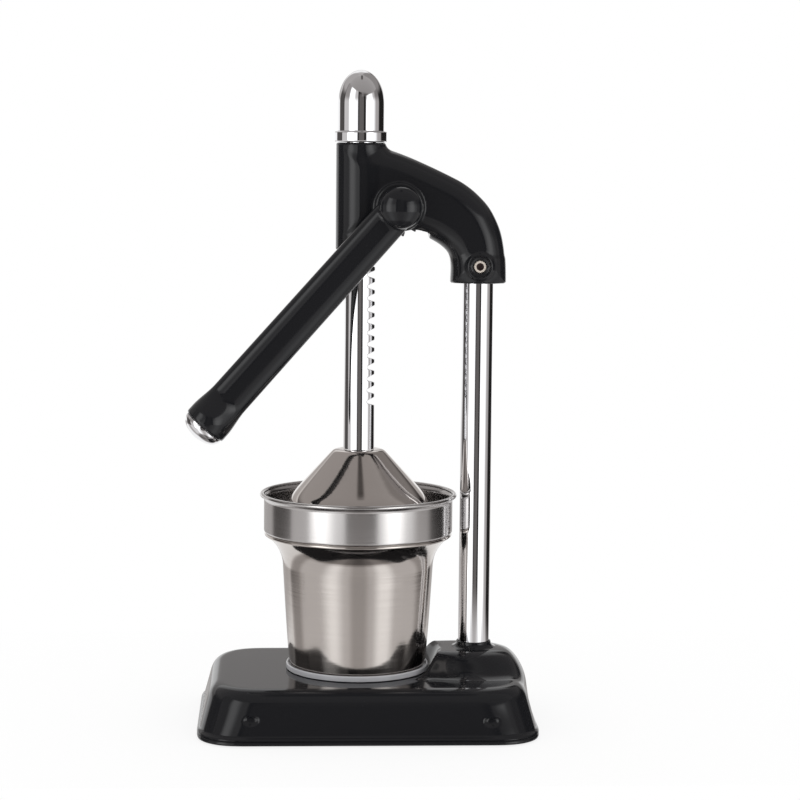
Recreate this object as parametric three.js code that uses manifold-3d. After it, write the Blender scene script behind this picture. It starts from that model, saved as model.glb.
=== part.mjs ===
// A lever press for citrus fruit. A pressed base carries a column, the column carries a cast head, and a lever
// on the head turns a pinion that drives a toothed ram down on the fruit. The juice runs through a strainer
// into a cup that stands in a ring on the base.
//
// Millimetres, +Z up. The origin is on the surface that the press stands on, under the axis of ram and cup.
// The lever hangs at its low stop, where the cap of the ram rests on the head.

import * as THREE from 'three';
import { mergeVertices } from 'three/addons/utils/BufferGeometryUtils.js';
import Module from 'manifold-3d';

// Clearances that all pieces share, and how far a cutting shape runs past what it cuts.
const fit = { seat: 0.3, bore: 0.3, overrun: 4 };

// Facets on round forms, and steps along the base's outline, its shoulder and its spine.
const facets = { hexagon: 6, screw: 8, small: 12, round: 20, large: 30, arc: 4, corner: 2, dome: 5, roll: 4,
  body: 2, flare: 4, section: 20 };
const base_steps = { arc: 6, shoulder: 4, inner_shoulder: 2, ramp: 4, crest: 3, breadth: 12 };

// Base: a pressed shell with a foot rim, a shelf and a raised spine under the column.
const base = {
  length: 207, depth: 146, corner: 28, centre_x: 5.5, centre_y: -1.5,
  rim_z: 0.8, rim_height: 3, rim_lip: 1.6, draft: 4.5, shoulder: 9, shelf_z: 32, wall: 1.8,
  spine_rise: 13.2, spine_half_width: 44, spine_gap: 1.5, spine_ramp: 9, spine_bulge: 3.4,
  collar_wall: 0.8, collar_fillet: 3.6, collar_depth: 7,
};
// The spine's toe line, as shares of the way from the cup's axis to the base's end and of its half width.
const spine_toe_shares = [[0, 0.72], [0.39, 0.78], [0.5, 0.85], [0.6, 0.965], [0.73, 1], [0.86, 0.95], [1, 0.84]];
const spine_crest_share = 0.4;
const spine_foot_share = 0.3;
const least_corner_share = 0.1;

// Ballast plate, feet, and the screws that hold both to posts inside the shell.
const plate = { z: 9, thickness: 4, edge_gap: 0.9, screw_inset_x: 26, screw_inset_y: 24 };
const foot = { radius: 9, taper: 1.2, recess_depth: 5 };
const foot_screw = { radius: 2, head_radius: 3.8, head_height: 2.4, length: 20 };
const post = { radius: 5.5, tapped_depth: 14 };

// Column, the plug in its foot, and the bolt that holds it from below.
const column = { x: 72.5, radius: 9.55, wall: 2, length: 288.4 };
const plug = { height: 24 };
const column_bolt = { radius: 4, length: 24, head_radius: 6.8, head_height: 4.4 };
const column_washer = { radius: 8.6, thickness: 1.6 };

// Ring that locates the cup on the shelf.
const ring = { outer_radius: 44.2, lip: 1.5, floor: 1.2, lip_height: 3.4, floor_width: 9 };

// Cup: a drawn steel vessel with a flared mouth and a rolled rim.
const cup = { height: 83.5, foot_radius: 42.2, foot_corner: 3.2, body_radius: 46.4, mouth_radius: 57.6,
  flare_height: 21, wall: 1.2, roll: 1.3, kick: 1.6, kick_radius: 30, kick_slope: 2 };
const cup_body_power = 0.8;
const cup_flare_power = 2.2;

// Strainer bowl, and the ribbed cone that is fixed in its floor.
const bowl = { band_radius: 58.2, band_height: 20.6, band_edge: 1, rim_radius: 60.6, rim_flare: 3.6, roll: 1.3,
  wall: 1.2, step: 5.5, throat_radius: 46, throat_drop: 7, floor_radius: 43.8, floor_drop: 12,
  opening_radius: 33.5 };
const cone = { height: 35, base_radius: 32, flange_radius: 42, wall: 1.3, rib_width: 3, rib_height: 2,
  hole_radius: 1.7 };
const cone_power = 1.7;
const cone_ribs = 8;
const cone_hole_rows_share = [0.64, 0.86];
const cone_holes = 8;
const cone_rib_span_share = [0.04, 0.9];
const cone_rib_swell_share = [0.15, 0.85];

// Rack and pinion.
const gear = { module: 2.25, width: 16, backlash: 0.6 };
const gear_teeth = 14;
const gear_angle = 20 * Math.PI / 180;
const gear_root_share = 1.24;
const gear_flank_steps = 3;
const rack = { below_pinion: 119.1 };
const rack_gaps = 20;

// Ram: the toothed rod, its cap and the bell.
const rod = { radius: 9.5, above_barrel: 22, chamfer: 0.8, tapped_depth: 24 };
const cap = { height: 43.6, flange_radius: 16.1, flange_height: 6.5, flange_edge: 0.7, body_radius: 14.3,
  dome_height: 20.6 };
const bell = { above_rim: 27.3, radius: 44, height: 41, wall: 1.8 };
const bell_outline_shares = [[1, 0], [1, 0.08], [0.957, 0.21], [0.625, 0.676], [0.47, 0.856], [0.386, 0.948],
  [0.3, 0.99], [0.24, 1]];
const bell_screw = { radius: 4, length: 24, head_radius: 6.4, head_height: 4.5 };
const bell_washer = { radius: 8.4, thickness: 1.5 };

// Head: a casting with a barrel for the ram, a falling arm and a socket for the column.
const head = {
  height: 84.7, barrel_radius: 15, barrel_length: 65, barrel_edge: 1,
  arm_half_width: 15.4, socket_radius: 16.3, socket_depth: 30,
  pocket_clearance: 1.2, gear_show: 1.3,
  boss_radius: 14.8, boss_rise: 2.6, boss_edge: 1.2,
  screw_height: 10.4, screw_boss_radius: 8, screw_boss_rise: 0.7, countersink_radius: 6.2,
  countersink_depth: 1.5,
};
// The arm's top line and its underside, station by station from the barrel to the socket, as shares of the
// reach (barrel axis to the socket's far side) and of the head's height (socket mouth to barrel top).
const arm_top_shares = [[0, 0.94], [0.17, 0.955], [0.3, 0.913], [0.468, 0.839], [0.636, 0.756], [0.721, 0.706],
  [0.806, 0.635], [0.891, 0.535], [0.957, 0.398], [0.987, 0.273], [1, 0.143], [1, 0]];
const arm_under_shares = [[0, 0.347], [0.135, 0.347], [0.225, 0.347], [0.315, 0.347], [0.405, 0.342],
  [0.474, 0.319], [0.529, 0.288], [0.569, 0.258], [0.602, 0.222], [0.622, 0.177], [0.633, 0.107], [0.633, 0]];
const arm_steps = 1;
const arm_roundness_shares = [3, 2];
const column_screw = { radius: 3.7, hexagon_radius: 2.4, hexagon_depth: 3, sunk: 0.5 };

// Shaft of the pinion, with its bushes, key and retaining ring.
const shaft = { radius: 5, half_square: 3.5, rear_end: 3.4, chamfer: 0.6, groove: 0.8, short: 0.5 };
const bush = { radius: 7 };
const key = { width: 3, height: 3, length: 13 };
const shaft_ring = { radius: 8, thickness: 1.2, gap: 3.5 };

// Lever: a cast arm with a hub at one end and a flared grip with a cap at the other.
const lever = { length: 176.5, neck_half_width: 11.4, half_width: 12.1, half_thickness: 7.2, hub_radius: 12.6,
  hub_thickness: 15, hub_edge: 0.8, end_radius: 13.9, flare_length: 23, end_edge: 0.8, recess_radius: 9.3,
  recess_depth: 3.6, bore_radius: 8, bore_depth: 13 };
const lever_droop = 48.5 * Math.PI / 180;
const lever_flare_shares = [[0, 0], [0.3, 0.16], [0.5, 0.6], [0.7, 0.95], [1, 1]];
const lever_roundness_shares = [2.3, 2];
const hub_cap = { height: 8.6, edge: 0.8, spigot_radius: 9, spigot_wall: 1.5, spigot_length: 2.6, hollow: 1.2 };
const hub_screw = { radius: 2.3, length: 11, head_radius: 5.8, head_height: 1.6 };
const end_cap = { radius: 13, height: 9, edge: 1, spigot_radius: 7.7, spigot_length: 11 };

// Levels and places that follow from the sizes above, from the ground up.
const plate_top = plate.z + plate.thickness;
const spine_z = base.shelf_z + base.spine_rise;
const column_foot = plate_top + fit.seat;
const socket_z = column_foot + column.length - head.socket_depth + fit.seat;
const barrel_top = socket_z + head.height;
const reach = column.x + head.socket_radius;
const ring_z = base.shelf_z + fit.seat;
const cup_z = ring_z + ring.floor + fit.seat;
const bowl_z = cup_z + cup.height + fit.seat;
const bell_top = bowl_z + bowl.band_height + bowl.rim_flare + bell.above_rim;
const bell_underside = bell_top - bell.wall;
const cone_z = bowl_z - bowl.floor_drop + bowl.wall + fit.seat;
const pitch = Math.PI * gear.module;
const pitch_radius = gear.module * gear_teeth / 2;
const crest_radius = pitch_radius + gear.module;
const root_radius = pitch_radius - gear.module * gear_root_share;
const pinion_x = rod.radius - gear.module + pitch_radius;
const pinion_z = socket_z + arm_under_shares[0][1] * head.height + crest_radius - head.gear_show;
const boss_y = head.arm_half_width + head.boss_rise;
const hub_back = boss_y + fit.seat;
const hub_front = hub_back + lever.hub_thickness;
const lever_y = -(hub_back + hub_front) / 2;

const paint = (color, roughness) => new THREE.MeshStandardMaterial({ color, roughness, metalness: 0 });
const metal = (color, roughness) => new THREE.MeshStandardMaterial({ color, roughness, metalness: 1 });
const black_enamel = paint(0x0b0b0d, 0.12);
const grey_plastic = paint(0xb4b4b8, 0.45);
const black_rubber = paint(0x161616, 0.8);
const chrome = metal(0xe6e7ea, 0.05);
const polished_steel = metal(0xc9c4c0, 0.14);
const brushed_steel = metal(0xbdb9b5, 0.34);
const gear_steel = metal(0x8d9095, 0.4);
const zinc = metal(0xa7a9ac, 0.45);
const bronze = metal(0xa67c45, 0.4);

const wasm = await Module();
wasm.setup();

// Shared points merged, and the slivers at poles left out, so that the geometry is one closed skin.
function weld(geometry) {
  const bare = geometry.clone();
  bare.deleteAttribute('normal');
  bare.deleteAttribute('uv');
  const merged = mergeVertices(bare);
  const corners = Array.from(merged.index.array);
  const kept = [];
  for (let i = 0; i < corners.length; i += 3) {
    const [a, b, c] = corners.slice(i, i + 3);
    if (a !== b && b !== c && c !== a) kept.push(a, b, c);
  }
  merged.setIndex(kept);
  return merged;
}

function to_solid(geometry) {
  const skin = weld(geometry);
  return new wasm.Manifold(new wasm.Mesh({
    numProp: 3,
    vertProperties: new Float32Array(skin.attributes.position.array),
    triVerts: new Uint32Array(skin.index.array),
  }));
}

function from_solid(solid) {
  const { vertProperties, triVerts } = solid.getMesh();
  const geometry = new THREE.BufferGeometry();
  geometry.setAttribute('position', new THREE.BufferAttribute(vertProperties, 3));
  geometry.setIndex(new THREE.BufferAttribute(triVerts, 1));
  return geometry;
}

const join = (...pieces) => from_solid(pieces.map(to_solid).reduce((whole, piece) => whole.add(piece)));
const cut = (piece, ...tools) => from_solid(tools.map(to_solid).reduce((rest, tool) => rest.subtract(tool),
  to_solid(piece)));

// A profile of [radius, height] points carried round Z, with the material on the left of the profile's way.
// A profile that starts off the axis closes on itself.
function turned(profile, sides = facets.large) {
  const points = profile.map(([radius, height]) => new THREE.Vector2(radius, height));
  if (points[0].x > 0) points.push(points[0].clone());
  return new THREE.LatheGeometry(points, sides).rotateX(Math.PI / 2);
}

const rod_shape = (radius, low, high, sides = facets.round) =>
  turned([[0, low], [radius, low], [radius, high], [0, high]], sides);
const tube_shape = (inner, outer, low, high, sides = facets.round) =>
  turned([[inner, low], [outer, low], [outer, high], [inner, high]], sides);

// Turns what is built along +Z to point to the rear (+Y) or to the front (-Y).
const to_rear = (geometry) => geometry.rotateX(-Math.PI / 2);
const to_front = (geometry) => geometry.rotateX(Math.PI / 2);

function block(low, high) {
  const [x, y, z] = high.map((value, axis) => value - low[axis]);
  const middle = high.map((value, axis) => (value + low[axis]) / 2);
  return new THREE.BoxGeometry(x, y, z).translate(...middle);
}

// An outline in the XZ plane, given as Vector2 points, carried along Y.
function across(outline, low_y, high_y, holes = []) {
  const shape = new THREE.Shape(outline);
  shape.holes = holes;
  return new THREE.ExtrudeGeometry(shape, { depth: high_y - low_y, bevelEnabled: false,
    curveSegments: facets.small / 2 }).rotateX(Math.PI / 2).translate(0, high_y, 0);
}

// Rings with as many points each, joined into one skin. They run counter-clockwise seen from the side that
// they climb to, and a first and last ring shrunk to a point close the ends.
function skin(rings) {
  const count = rings[0].length;
  const index = [];
  for (let r = 0; r + 1 < rings.length; r++) {
    for (let i = 0; i < count; i++) {
      const near = r * count + i;
      const beside = r * count + (i + 1) % count;
      index.push(near, beside, beside + count, near, beside + count, near + count);
    }
  }
  const geometry = new THREE.BufferGeometry();
  const numbers = rings.flat().flatMap((point) => point.toArray());
  geometry.setAttribute('position', new THREE.Float32BufferAttribute(numbers, 3));
  geometry.setIndex(index);
  return geometry;
}

const steps_of = (count, make) => Array.from({ length: count + 1 }, (_, k) => make(k / count));
const arc_points = (x, y, radius, from, to, count = facets.arc) => steps_of(count, (share) => {
  const angle = from + (to - from) * share;
  return [x + radius * Math.cos(angle), y + radius * Math.sin(angle)];
});

// Sheet metal: a line of [radius, height] points thickened by the wall on its left, with a rolled edge at the
// line's end where a roll radius is given. Returns the closed profile.
function sheet(line, wall, roll = 0) {
  const points = line.map(([radius, height]) => new THREE.Vector2(radius, height));
  const inner = points.map((point, k) => {
    const before = points[Math.max(k - 1, 0)];
    const after = points[Math.min(k + 1, points.length - 1)];
    const into = point.clone().sub(before).normalize();
    const out = after.clone().sub(point).normalize();
    const way = into.add(out).normalize();
    const next = k + 1 < points.length ? out : way;
    const mitre = Math.max(way.dot(next), 0.5);
    return [point.x - way.y * wall / mitre, point.y + way.x * wall / mitre];
  });
  if (points[0].x === 0) inner[0][0] = 0;
  if (points.at(-1).x === 0) inner.at(-1)[0] = 0;
  const edge = [];
  if (roll > 0) {
    const way = points.at(-1).clone().sub(points.at(-2)).angle();
    const open = Math.PI - Math.asin(wall / 2 / roll);
    const x = (line.at(-1)[0] + inner.at(-1)[0]) / 2;
    const y = (line.at(-1)[1] + inner.at(-1)[1]) / 2;
    edge.push(...arc_points(x, y, roll, way - open, way + open, facets.roll));
    return [...line.slice(0, -1), ...edge, ...inner.slice(0, -1).reverse()];
  }
  return [...line, ...inner.reverse()];
}

function smooth(low, high, value) {
  const share = THREE.MathUtils.clamp((value - low) / (high - low), 0, 1);
  return share * share * (3 - 2 * share);
}

// Closed superellipse section: `up` and `side` are its half axes, and a roundness of 2 makes an ellipse.
function section(centre, up, side, roundness) {
  const swell = (value) => Math.sign(value) * Math.abs(value) ** (2 / roundness);
  return Array.from({ length: facets.section }, (_, k) => {
    const angle = 2 * Math.PI * k / facets.section;
    return centre.clone().addScaledVector(up, swell(Math.cos(angle))).addScaledVector(side,
      swell(Math.sin(angle)));
  });
}
const pole = (centre, count) => Array.from({ length: count }, () => centre.clone());

const press = new THREE.Group();
function add(group, name, geometry, material) {
  const mesh = new THREE.Mesh(weld(geometry), material);
  mesh.name = name;
  group.add(mesh);
  return mesh;
}

// The base's outline drawn in from the rim: four corner arcs, counter-clockwise.
function base_outline(inset) {
  const radius = Math.max(base.corner - inset, base.corner * least_corner_share);
  const flat_x = base.length / 2 - inset - radius;
  const flat_y = base.depth / 2 - inset - radius;
  return [[1, 1], [-1, 1], [-1, -1], [1, -1]].flatMap(([side_x, side_y], quarter) => {
    const start = quarter * Math.PI / 2;
    return arc_points(base.centre_x + side_x * flat_x, base.centre_y + side_y * flat_y, radius, start,
      start + Math.PI / 2, base_steps.arc);
  });
}

const shell_ring = (inset, z) => base_outline(inset).map(([x, y]) => new THREE.Vector3(x, y, z));
const shell_pole = (z) => pole(new THREE.Vector3(base.centre_x, base.centre_y, z), base_outline(0).length);

const wall_foot_z = base.rim_z + base.rim_height + base.rim_lip;
const shoulder_z = base.shelf_z - base.shoulder;
const shoulder_inset = base.rim_lip + base.draft;
const shelf_inset = shoulder_inset + base.shoulder;
const post_places = [[1, 1], [-1, 1], [-1, -1], [1, -1]].map(([side_x, side_y]) => [
  base.centre_x + side_x * (base.length / 2 - plate.screw_inset_x),
  base.centre_y + side_y * (base.depth / 2 - plate.screw_inset_y),
]);

function base_sheet() {
  const outer_shoulder = arc_points(shelf_inset, shoulder_z, base.shoulder, Math.PI, Math.PI / 2,
    base_steps.shoulder);
  const inner_shoulder = arc_points(shelf_inset, shoulder_z, base.shoulder - base.wall, Math.PI / 2, Math.PI,
    base_steps.inner_shoulder);
  const inner = [...inner_shoulder, [base.rim_lip + base.wall, base.rim_z]];
  const outer = [[0, base.rim_z], [0, base.rim_z + base.rim_height], [base.rim_lip, wall_foot_z],
    ...outer_shoulder];
  return skin([
    shell_pole(base.shelf_z - base.wall),
    ...inner.map(([inset, z]) => shell_ring(inset, z)),
    ...outer.map(([inset, z]) => shell_ring(inset, z)),
    shell_pole(base.shelf_z),
  ]);
}

// How wide the spine is at a distance from the cup's axis.
function spine_half_width(x) {
  const along = x / (base.centre_x + base.length / 2);
  const next = Math.max(spine_toe_shares.findIndex(([share]) => share >= along), 1);
  const [[from, narrow], [to, wide]] = spine_toe_shares.slice(next - 1, next + 1);
  return base.spine_half_width * THREE.MathUtils.mapLinear(along, from, to, narrow, wide);
}

// The spine: arches from a ramp round the cup's ring along the shelf and down over the base's end wall. The
// outside form has no inset, and the hollow under it is drawn in by the wall.
function base_spine(inset, depth) {
  const end = base.centre_x + base.length / 2;
  const shelf_end = end - shelf_inset;
  const start = ring.outer_radius + base.spine_gap;
  const crest_start = start + base.spine_ramp;
  const up = new THREE.Vector2(0, 1);
  const ramp = steps_of(base_steps.ramp, (share) =>
    ({ x: start + inset + base.spine_ramp * share, z: base.shelf_z - inset, up, rise: smooth(0, 1, share),
      swell: 0 }));
  const crest = steps_of(base_steps.crest, (share) =>
    ({ x: THREE.MathUtils.lerp(crest_start + inset, shelf_end, share), z: base.shelf_z - inset, up, rise: 1,
      swell: 0 }));
  const shoulder = steps_of(base_steps.shoulder, (share) => {
    const out = new THREE.Vector2().setX(1).rotateAround(new THREE.Vector2(), Math.PI / 2 * (1 - share));
    const radius = base.shoulder - inset;
    return { x: shelf_end + radius * out.x, z: shoulder_z + radius * out.y, up: out, rise: 1,
      swell: smooth(0, 1, share) };
  });
  const foot = { x: end - base.rim_lip - inset, z: wall_foot_z, up: new THREE.Vector2(1, 0), rise: 1,
    swell: spine_foot_share };
  const rings = [...ramp, ...crest.slice(1), ...shoulder.slice(1), foot].map((station) => {
    const half_width = spine_half_width(station.x) - inset;
    const lift = base.spine_rise * station.rise *
      (station.z + inset - base.rim_z) / (base.shelf_z - base.rim_z);
    const bend = 1 - smooth(crest_start, shelf_end, station.x);
    const place = (across_share, arch, sink) => {
      const y = half_width * across_share;
      const round_x = Math.sqrt(Math.max(station.x ** 2 - y ** 2, 0));
      const swell = base.spine_bulge * station.swell * arch;
      return new THREE.Vector3(THREE.MathUtils.lerp(station.x, round_x, bend) + swell - station.up.x * sink, y,
        station.z + lift * arch - station.up.y * sink);
    };
    const over = steps_of(base_steps.breadth, (share) => {
      const side = 1 - 2 * share;
      return place(side, 1 - smooth(spine_crest_share, 1, Math.abs(side)), 0);
    });
    const under = steps_of(base_steps.breadth, (share) => place(2 * share - 1, 0, depth));
    return [...over, ...under];
  });
  const middle = (points) => points.reduce((sum, point) => sum.add(point), new THREE.Vector3())
    .divideScalar(points.length);
  const cap_of = (points) => pole(middle(points), points.length);
  return skin([cap_of(rings[0]), ...rings, cap_of(rings.at(-1))]);
}

function base_collar() {
  const bore = column.radius + fit.bore;
  const top_radius = bore + base.collar_wall;
  const toe_radius = top_radius + base.collar_fillet;
  const toe_z = spine_z - base.wall / 4;
  const fillet = arc_points(toe_radius, toe_z + base.collar_fillet, base.collar_fillet, -Math.PI / 2,
    -Math.PI, facets.arc);
  return turned([[bore, toe_z - base.collar_depth], [top_radius, toe_z - base.collar_depth],
    [toe_radius, toe_z - base.wall / 2], ...fillet, [bore, toe_z + base.collar_fillet]], facets.round)
    .translate(column.x, 0, 0);
}

function base_shell() {
  const post_top = base.shelf_z - base.wall / 2;
  const posts = post_places.map(([x, y]) =>
    rod_shape(post.radius, plate_top + fit.seat, post_top, facets.small).translate(x, y, 0));
  const tapped = post_places.map(([x, y]) =>
    rod_shape(foot_screw.radius + fit.bore, plate_top, plate_top + post.tapped_depth, facets.screw)
      .translate(x, y, 0));
  const hole = rod_shape(column.radius + fit.bore, plate_top, spine_z + column.radius).translate(column.x, 0, 0);
  const pressed = cut(join(base_sheet(), base_spine(0, base.wall / 2)), base_spine(base.wall, fit.overrun));
  return cut(join(pressed, ...posts, base_collar()), hole, ...tapped);
}
add(press, 'base_shell', base_shell(), black_enamel);

function base_plate() {
  const draft_share = (plate_top - wall_foot_z) / (shoulder_z - wall_foot_z);
  const inset = base.rim_lip + Math.max(draft_share, 0) * base.draft + base.wall + plate.edge_gap;
  const outline = base_outline(inset).map(([x, y]) => new THREE.Vector2(x, y));
  const slab = new THREE.ExtrudeGeometry(new THREE.Shape(outline), { depth: plate.thickness,
    bevelEnabled: false }).translate(0, 0, plate.z);
  const hole = (x, y, radius) => rod_shape(radius + fit.bore, plate.z - fit.overrun, plate_top + fit.overrun,
    facets.small).translate(x, y, 0);
  return cut(slab, hole(column.x, 0, column_bolt.radius),
    ...post_places.map(([x, y]) => hole(x, y, foot_screw.radius)));
}
add(press, 'base_plate', base_plate(), zinc);

post_places.forEach(([x, y], k) => {
  const hole = foot_screw.radius + fit.bore;
  const recess = foot_screw.head_radius + fit.bore;
  const top = plate.z - fit.seat;
  const pad = turned([[recess, 0], [foot.radius - foot.taper, 0], [foot.radius, top], [hole, top],
    [hole, foot.recess_depth], [recess, foot.recess_depth]], facets.small);
  add(press, `foot_${k + 1}`, pad, black_rubber).position.set(x, y, 0);

  const seat = foot.recess_depth - fit.seat;
  const screw = turned([[0, seat - foot_screw.head_height], [foot_screw.head_radius, seat -
    foot_screw.head_height / 2], [foot_screw.head_radius, seat], [foot_screw.radius, seat],
    [foot_screw.radius, seat + foot_screw.length], [0, seat + foot_screw.length]], facets.screw);
  add(press, `foot_screw_${k + 1}`, screw, zinc).position.set(x, y, 0);
});

// The column stands on the ballast plate, and a bolt draws its plug down.
const stand = new THREE.Group();
stand.position.set(column.x, 0, 0);
press.add(stand);
add(stand, 'column', tube_shape(column.radius - column.wall, column.radius, column_foot,
  column_foot + column.length), chrome);
add(stand, 'column_plug', tube_shape(column_bolt.radius + fit.bore, column.radius - column.wall - fit.seat,
  column_foot, column_foot + plug.height), zinc);
const washer_top = plate.z - fit.seat;
const washer_foot = washer_top - column_washer.thickness;
const bolt_seat = washer_foot - fit.seat;
add(stand, 'column_washer', tube_shape(column_bolt.radius + fit.bore, column_washer.radius, washer_foot,
  washer_top), zinc);
add(stand, 'column_bolt', join(
  rod_shape(column_bolt.head_radius, bolt_seat - column_bolt.head_height, bolt_seat, facets.hexagon),
  rod_shape(column_bolt.radius, bolt_seat - column_bolt.head_height / 2, bolt_seat + column_bolt.length,
    facets.small)), zinc);

// The cup's ring on the shelf.
add(press, 'cup_ring', turned([
  [ring.outer_radius - ring.floor_width, ring_z], [ring.outer_radius, ring_z],
  [ring.outer_radius, ring_z + ring.lip_height], [ring.outer_radius - ring.lip, ring_z + ring.lip_height],
  [ring.outer_radius - ring.lip, ring_z + ring.floor],
  [ring.outer_radius - ring.floor_width, ring_z + ring.floor],
]), grey_plastic);

function juice_cup() {
  const body_top = cup.height - cup.flare_height;
  const mouth = cup.mouth_radius - cup.roll + cup.wall / 2;
  const body = steps_of(facets.body, (share) => [
    cup.foot_radius + (cup.body_radius - cup.foot_radius) * share ** cup_body_power,
    cup.foot_corner + (body_top - cup.foot_corner) * share,
  ]);
  const flare = steps_of(facets.flare, (share) => [
    cup.body_radius + (mouth - cup.body_radius) * share ** cup_flare_power,
    body_top + (cup.flare_height - cup.roll) * share,
  ]);
  const corner = arc_points(cup.foot_radius - cup.foot_corner, cup.foot_corner, cup.foot_corner,
    -Math.PI / 2, 0, facets.corner);
  const line = [[0, cup.kick], [cup.kick_radius, cup.kick], [cup.kick_radius + cup.kick_slope, 0],
    ...corner, ...body.slice(1), ...flare.slice(1)];
  return turned(sheet(line, cup.wall, cup.roll));
}
add(press, 'juice_cup', juice_cup(), brushed_steel).position.z = cup_z;

function strainer_bowl() {
  const band_foot = bowl.band_radius - bowl.band_edge;
  const line = [[bowl.opening_radius, -bowl.floor_drop], [bowl.floor_radius, -bowl.floor_drop],
    [bowl.throat_radius, -bowl.throat_drop], [bowl.band_radius - bowl.step, 0], [band_foot, 0],
    [bowl.band_radius, bowl.band_edge], [bowl.band_radius, bowl.band_height - bowl.band_edge],
    [bowl.rim_radius - bowl.roll + bowl.wall / 2, bowl.band_height + bowl.rim_flare - bowl.roll]];
  return turned(sheet(line, bowl.wall, bowl.roll));
}
add(press, 'strainer_bowl', strainer_bowl(), brushed_steel).position.z = bowl_z;

// The cone's flank at a share of its height: the radius falls slowly at first and fast at the tip.
const cone_point = (share) => [cone.base_radius * (1 - share ** cone_power), cone.height * share + cone.wall];

function cone_rib(turn) {
  const [low, high] = cone_rib_span_share;
  const flank = steps_of(facets.dome, (share) => {
    const [radius, height] = cone_point(THREE.MathUtils.lerp(low, high, share));
    const lift = cone.rib_height * Math.sin(Math.PI * THREE.MathUtils.lerp(...cone_rib_swell_share, share));
    return [new THREE.Vector2(radius + lift, height + lift / 2),
      new THREE.Vector2(radius - cone.wall / 2, height - cone.wall / 2)];
  });
  const outline = [...flank.map(([outside]) => outside), ...flank.map(([, inside]) => inside).reverse()];
  return across(outline, -cone.rib_width / 2, cone.rib_width / 2).rotateZ(turn);
}

function reamer_cone() {
  const dome = steps_of(facets.dome, cone_point);
  const flank = sheet([[cone.flange_radius, cone.wall], ...dome], cone.wall);
  const ribs = Array.from({ length: cone_ribs }, (_, k) => cone_rib(2 * Math.PI * k / cone_ribs));
  const holes = cone_hole_rows_share.flatMap((row_share) => Array.from({ length: cone_holes }, (_, k) => {
    const angle = 2 * Math.PI * (k + 1 / 2) / cone_holes;
    const radius = cone.base_radius * row_share;
    return rod_shape(cone.hole_radius, -fit.overrun, cone.height, facets.hexagon)
      .translate(radius * Math.cos(angle), radius * Math.sin(angle), 0);
  }));
  return cut(join(turned(flank, facets.section), ...ribs), ...holes);
}
add(press, 'reamer_cone', reamer_cone(), polished_steel).position.z = cone_z;

// Ram.
const rod_foot = bell_top + fit.seat;
const rod_top = barrel_top + rod.above_barrel;
const gap_z = (k) => pinion_z - rack.below_pinion + k * pitch;

// One gap between two rack teeth, cut right across the rod, with straight flanks at the pressure angle.
function rack_gap(z) {
  const line = rod.radius - gear.module;
  const floor = line - gear.module * gear_root_share;
  const outside = rod.radius + fit.overrun;
  const half = (x) => pitch / 4 + (x - line) * Math.tan(gear_angle);
  const outline = [[floor, -half(floor)], [outside, -half(outside)], [outside, half(outside)],
    [floor, half(floor)]].map(([x, rise]) => new THREE.Vector2(x, z + rise));
  return across(outline, -rod.radius - fit.overrun, rod.radius + fit.overrun);
}

function rack_rod() {
  const edge = rod.radius - rod.chamfer;
  const bar = turned([[0, rod_foot], [rod.radius, rod_foot], [rod.radius, rod_top - rod.chamfer],
    [edge, rod_top], [0, rod_top]], facets.round);
  const tapped = rod_shape(bell_screw.radius + fit.bore, rod_foot - fit.overrun,
    rod_foot + rod.tapped_depth, facets.small);
  const gaps = Array.from({ length: rack_gaps }, (_, k) => rack_gap(gap_z(k)));
  return cut(bar, tapped, ...gaps);
}
add(press, 'rack_rod', rack_rod(), chrome);

function rod_cap() {
  const bore = rod.radius + fit.bore;
  const dome_z = cap.height - cap.dome_height;
  const dome = steps_of(facets.dome, (share) => [cap.body_radius * Math.cos(share * Math.PI / 2),
    dome_z + cap.dome_height * Math.sin(share * Math.PI / 2)]);
  dome.at(-1)[0] = 0;
  return turned([[0, rod.above_barrel], [bore, rod.above_barrel], [bore, 0],
    [cap.flange_radius - cap.flange_edge, 0], [cap.flange_radius, cap.flange_edge],
    [cap.flange_radius, cap.flange_height - cap.flange_edge],
    [cap.flange_radius - cap.flange_edge, cap.flange_height], [cap.body_radius, cap.flange_height], ...dome]);
}
add(press, 'rod_cap', rod_cap(), chrome).position.z = barrel_top + fit.seat;

function press_bell() {
  const outline = bell_outline_shares.map(([radius_share, height_share]) =>
    [bell.radius * radius_share, bell_top - bell.height * (1 - height_share)]);
  const hole = [bell_screw.radius + fit.bore, bell_top];
  return turned(sheet([...outline, hole], bell.wall));
}
add(press, 'press_bell', press_bell(), polished_steel);

const bell_washer_top = bell_underside - fit.seat;
const bell_screw_seat = bell_washer_top - bell_washer.thickness - fit.seat;
add(press, 'bell_washer', tube_shape(bell_screw.radius + fit.bore, bell_washer.radius,
  bell_washer_top - bell_washer.thickness, bell_washer_top, facets.small), zinc);
add(press, 'bell_screw', join(
  rod_shape(bell_screw.head_radius, bell_screw_seat - bell_screw.head_height, bell_screw_seat,
    facets.hexagon),
  rod_shape(bell_screw.radius, bell_screw_seat - bell_screw.head_height / 2,
    bell_screw_seat + bell_screw.length, facets.screw)), zinc);

// Head casting.
function arm_line(shares) {
  const points = shares.map(([along, up]) => new THREE.Vector3(along * reach, 0, socket_z + up * head.height));
  return new THREE.CatmullRomCurve3(points).getPoints((points.length - 1) * arm_steps);
}

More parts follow.
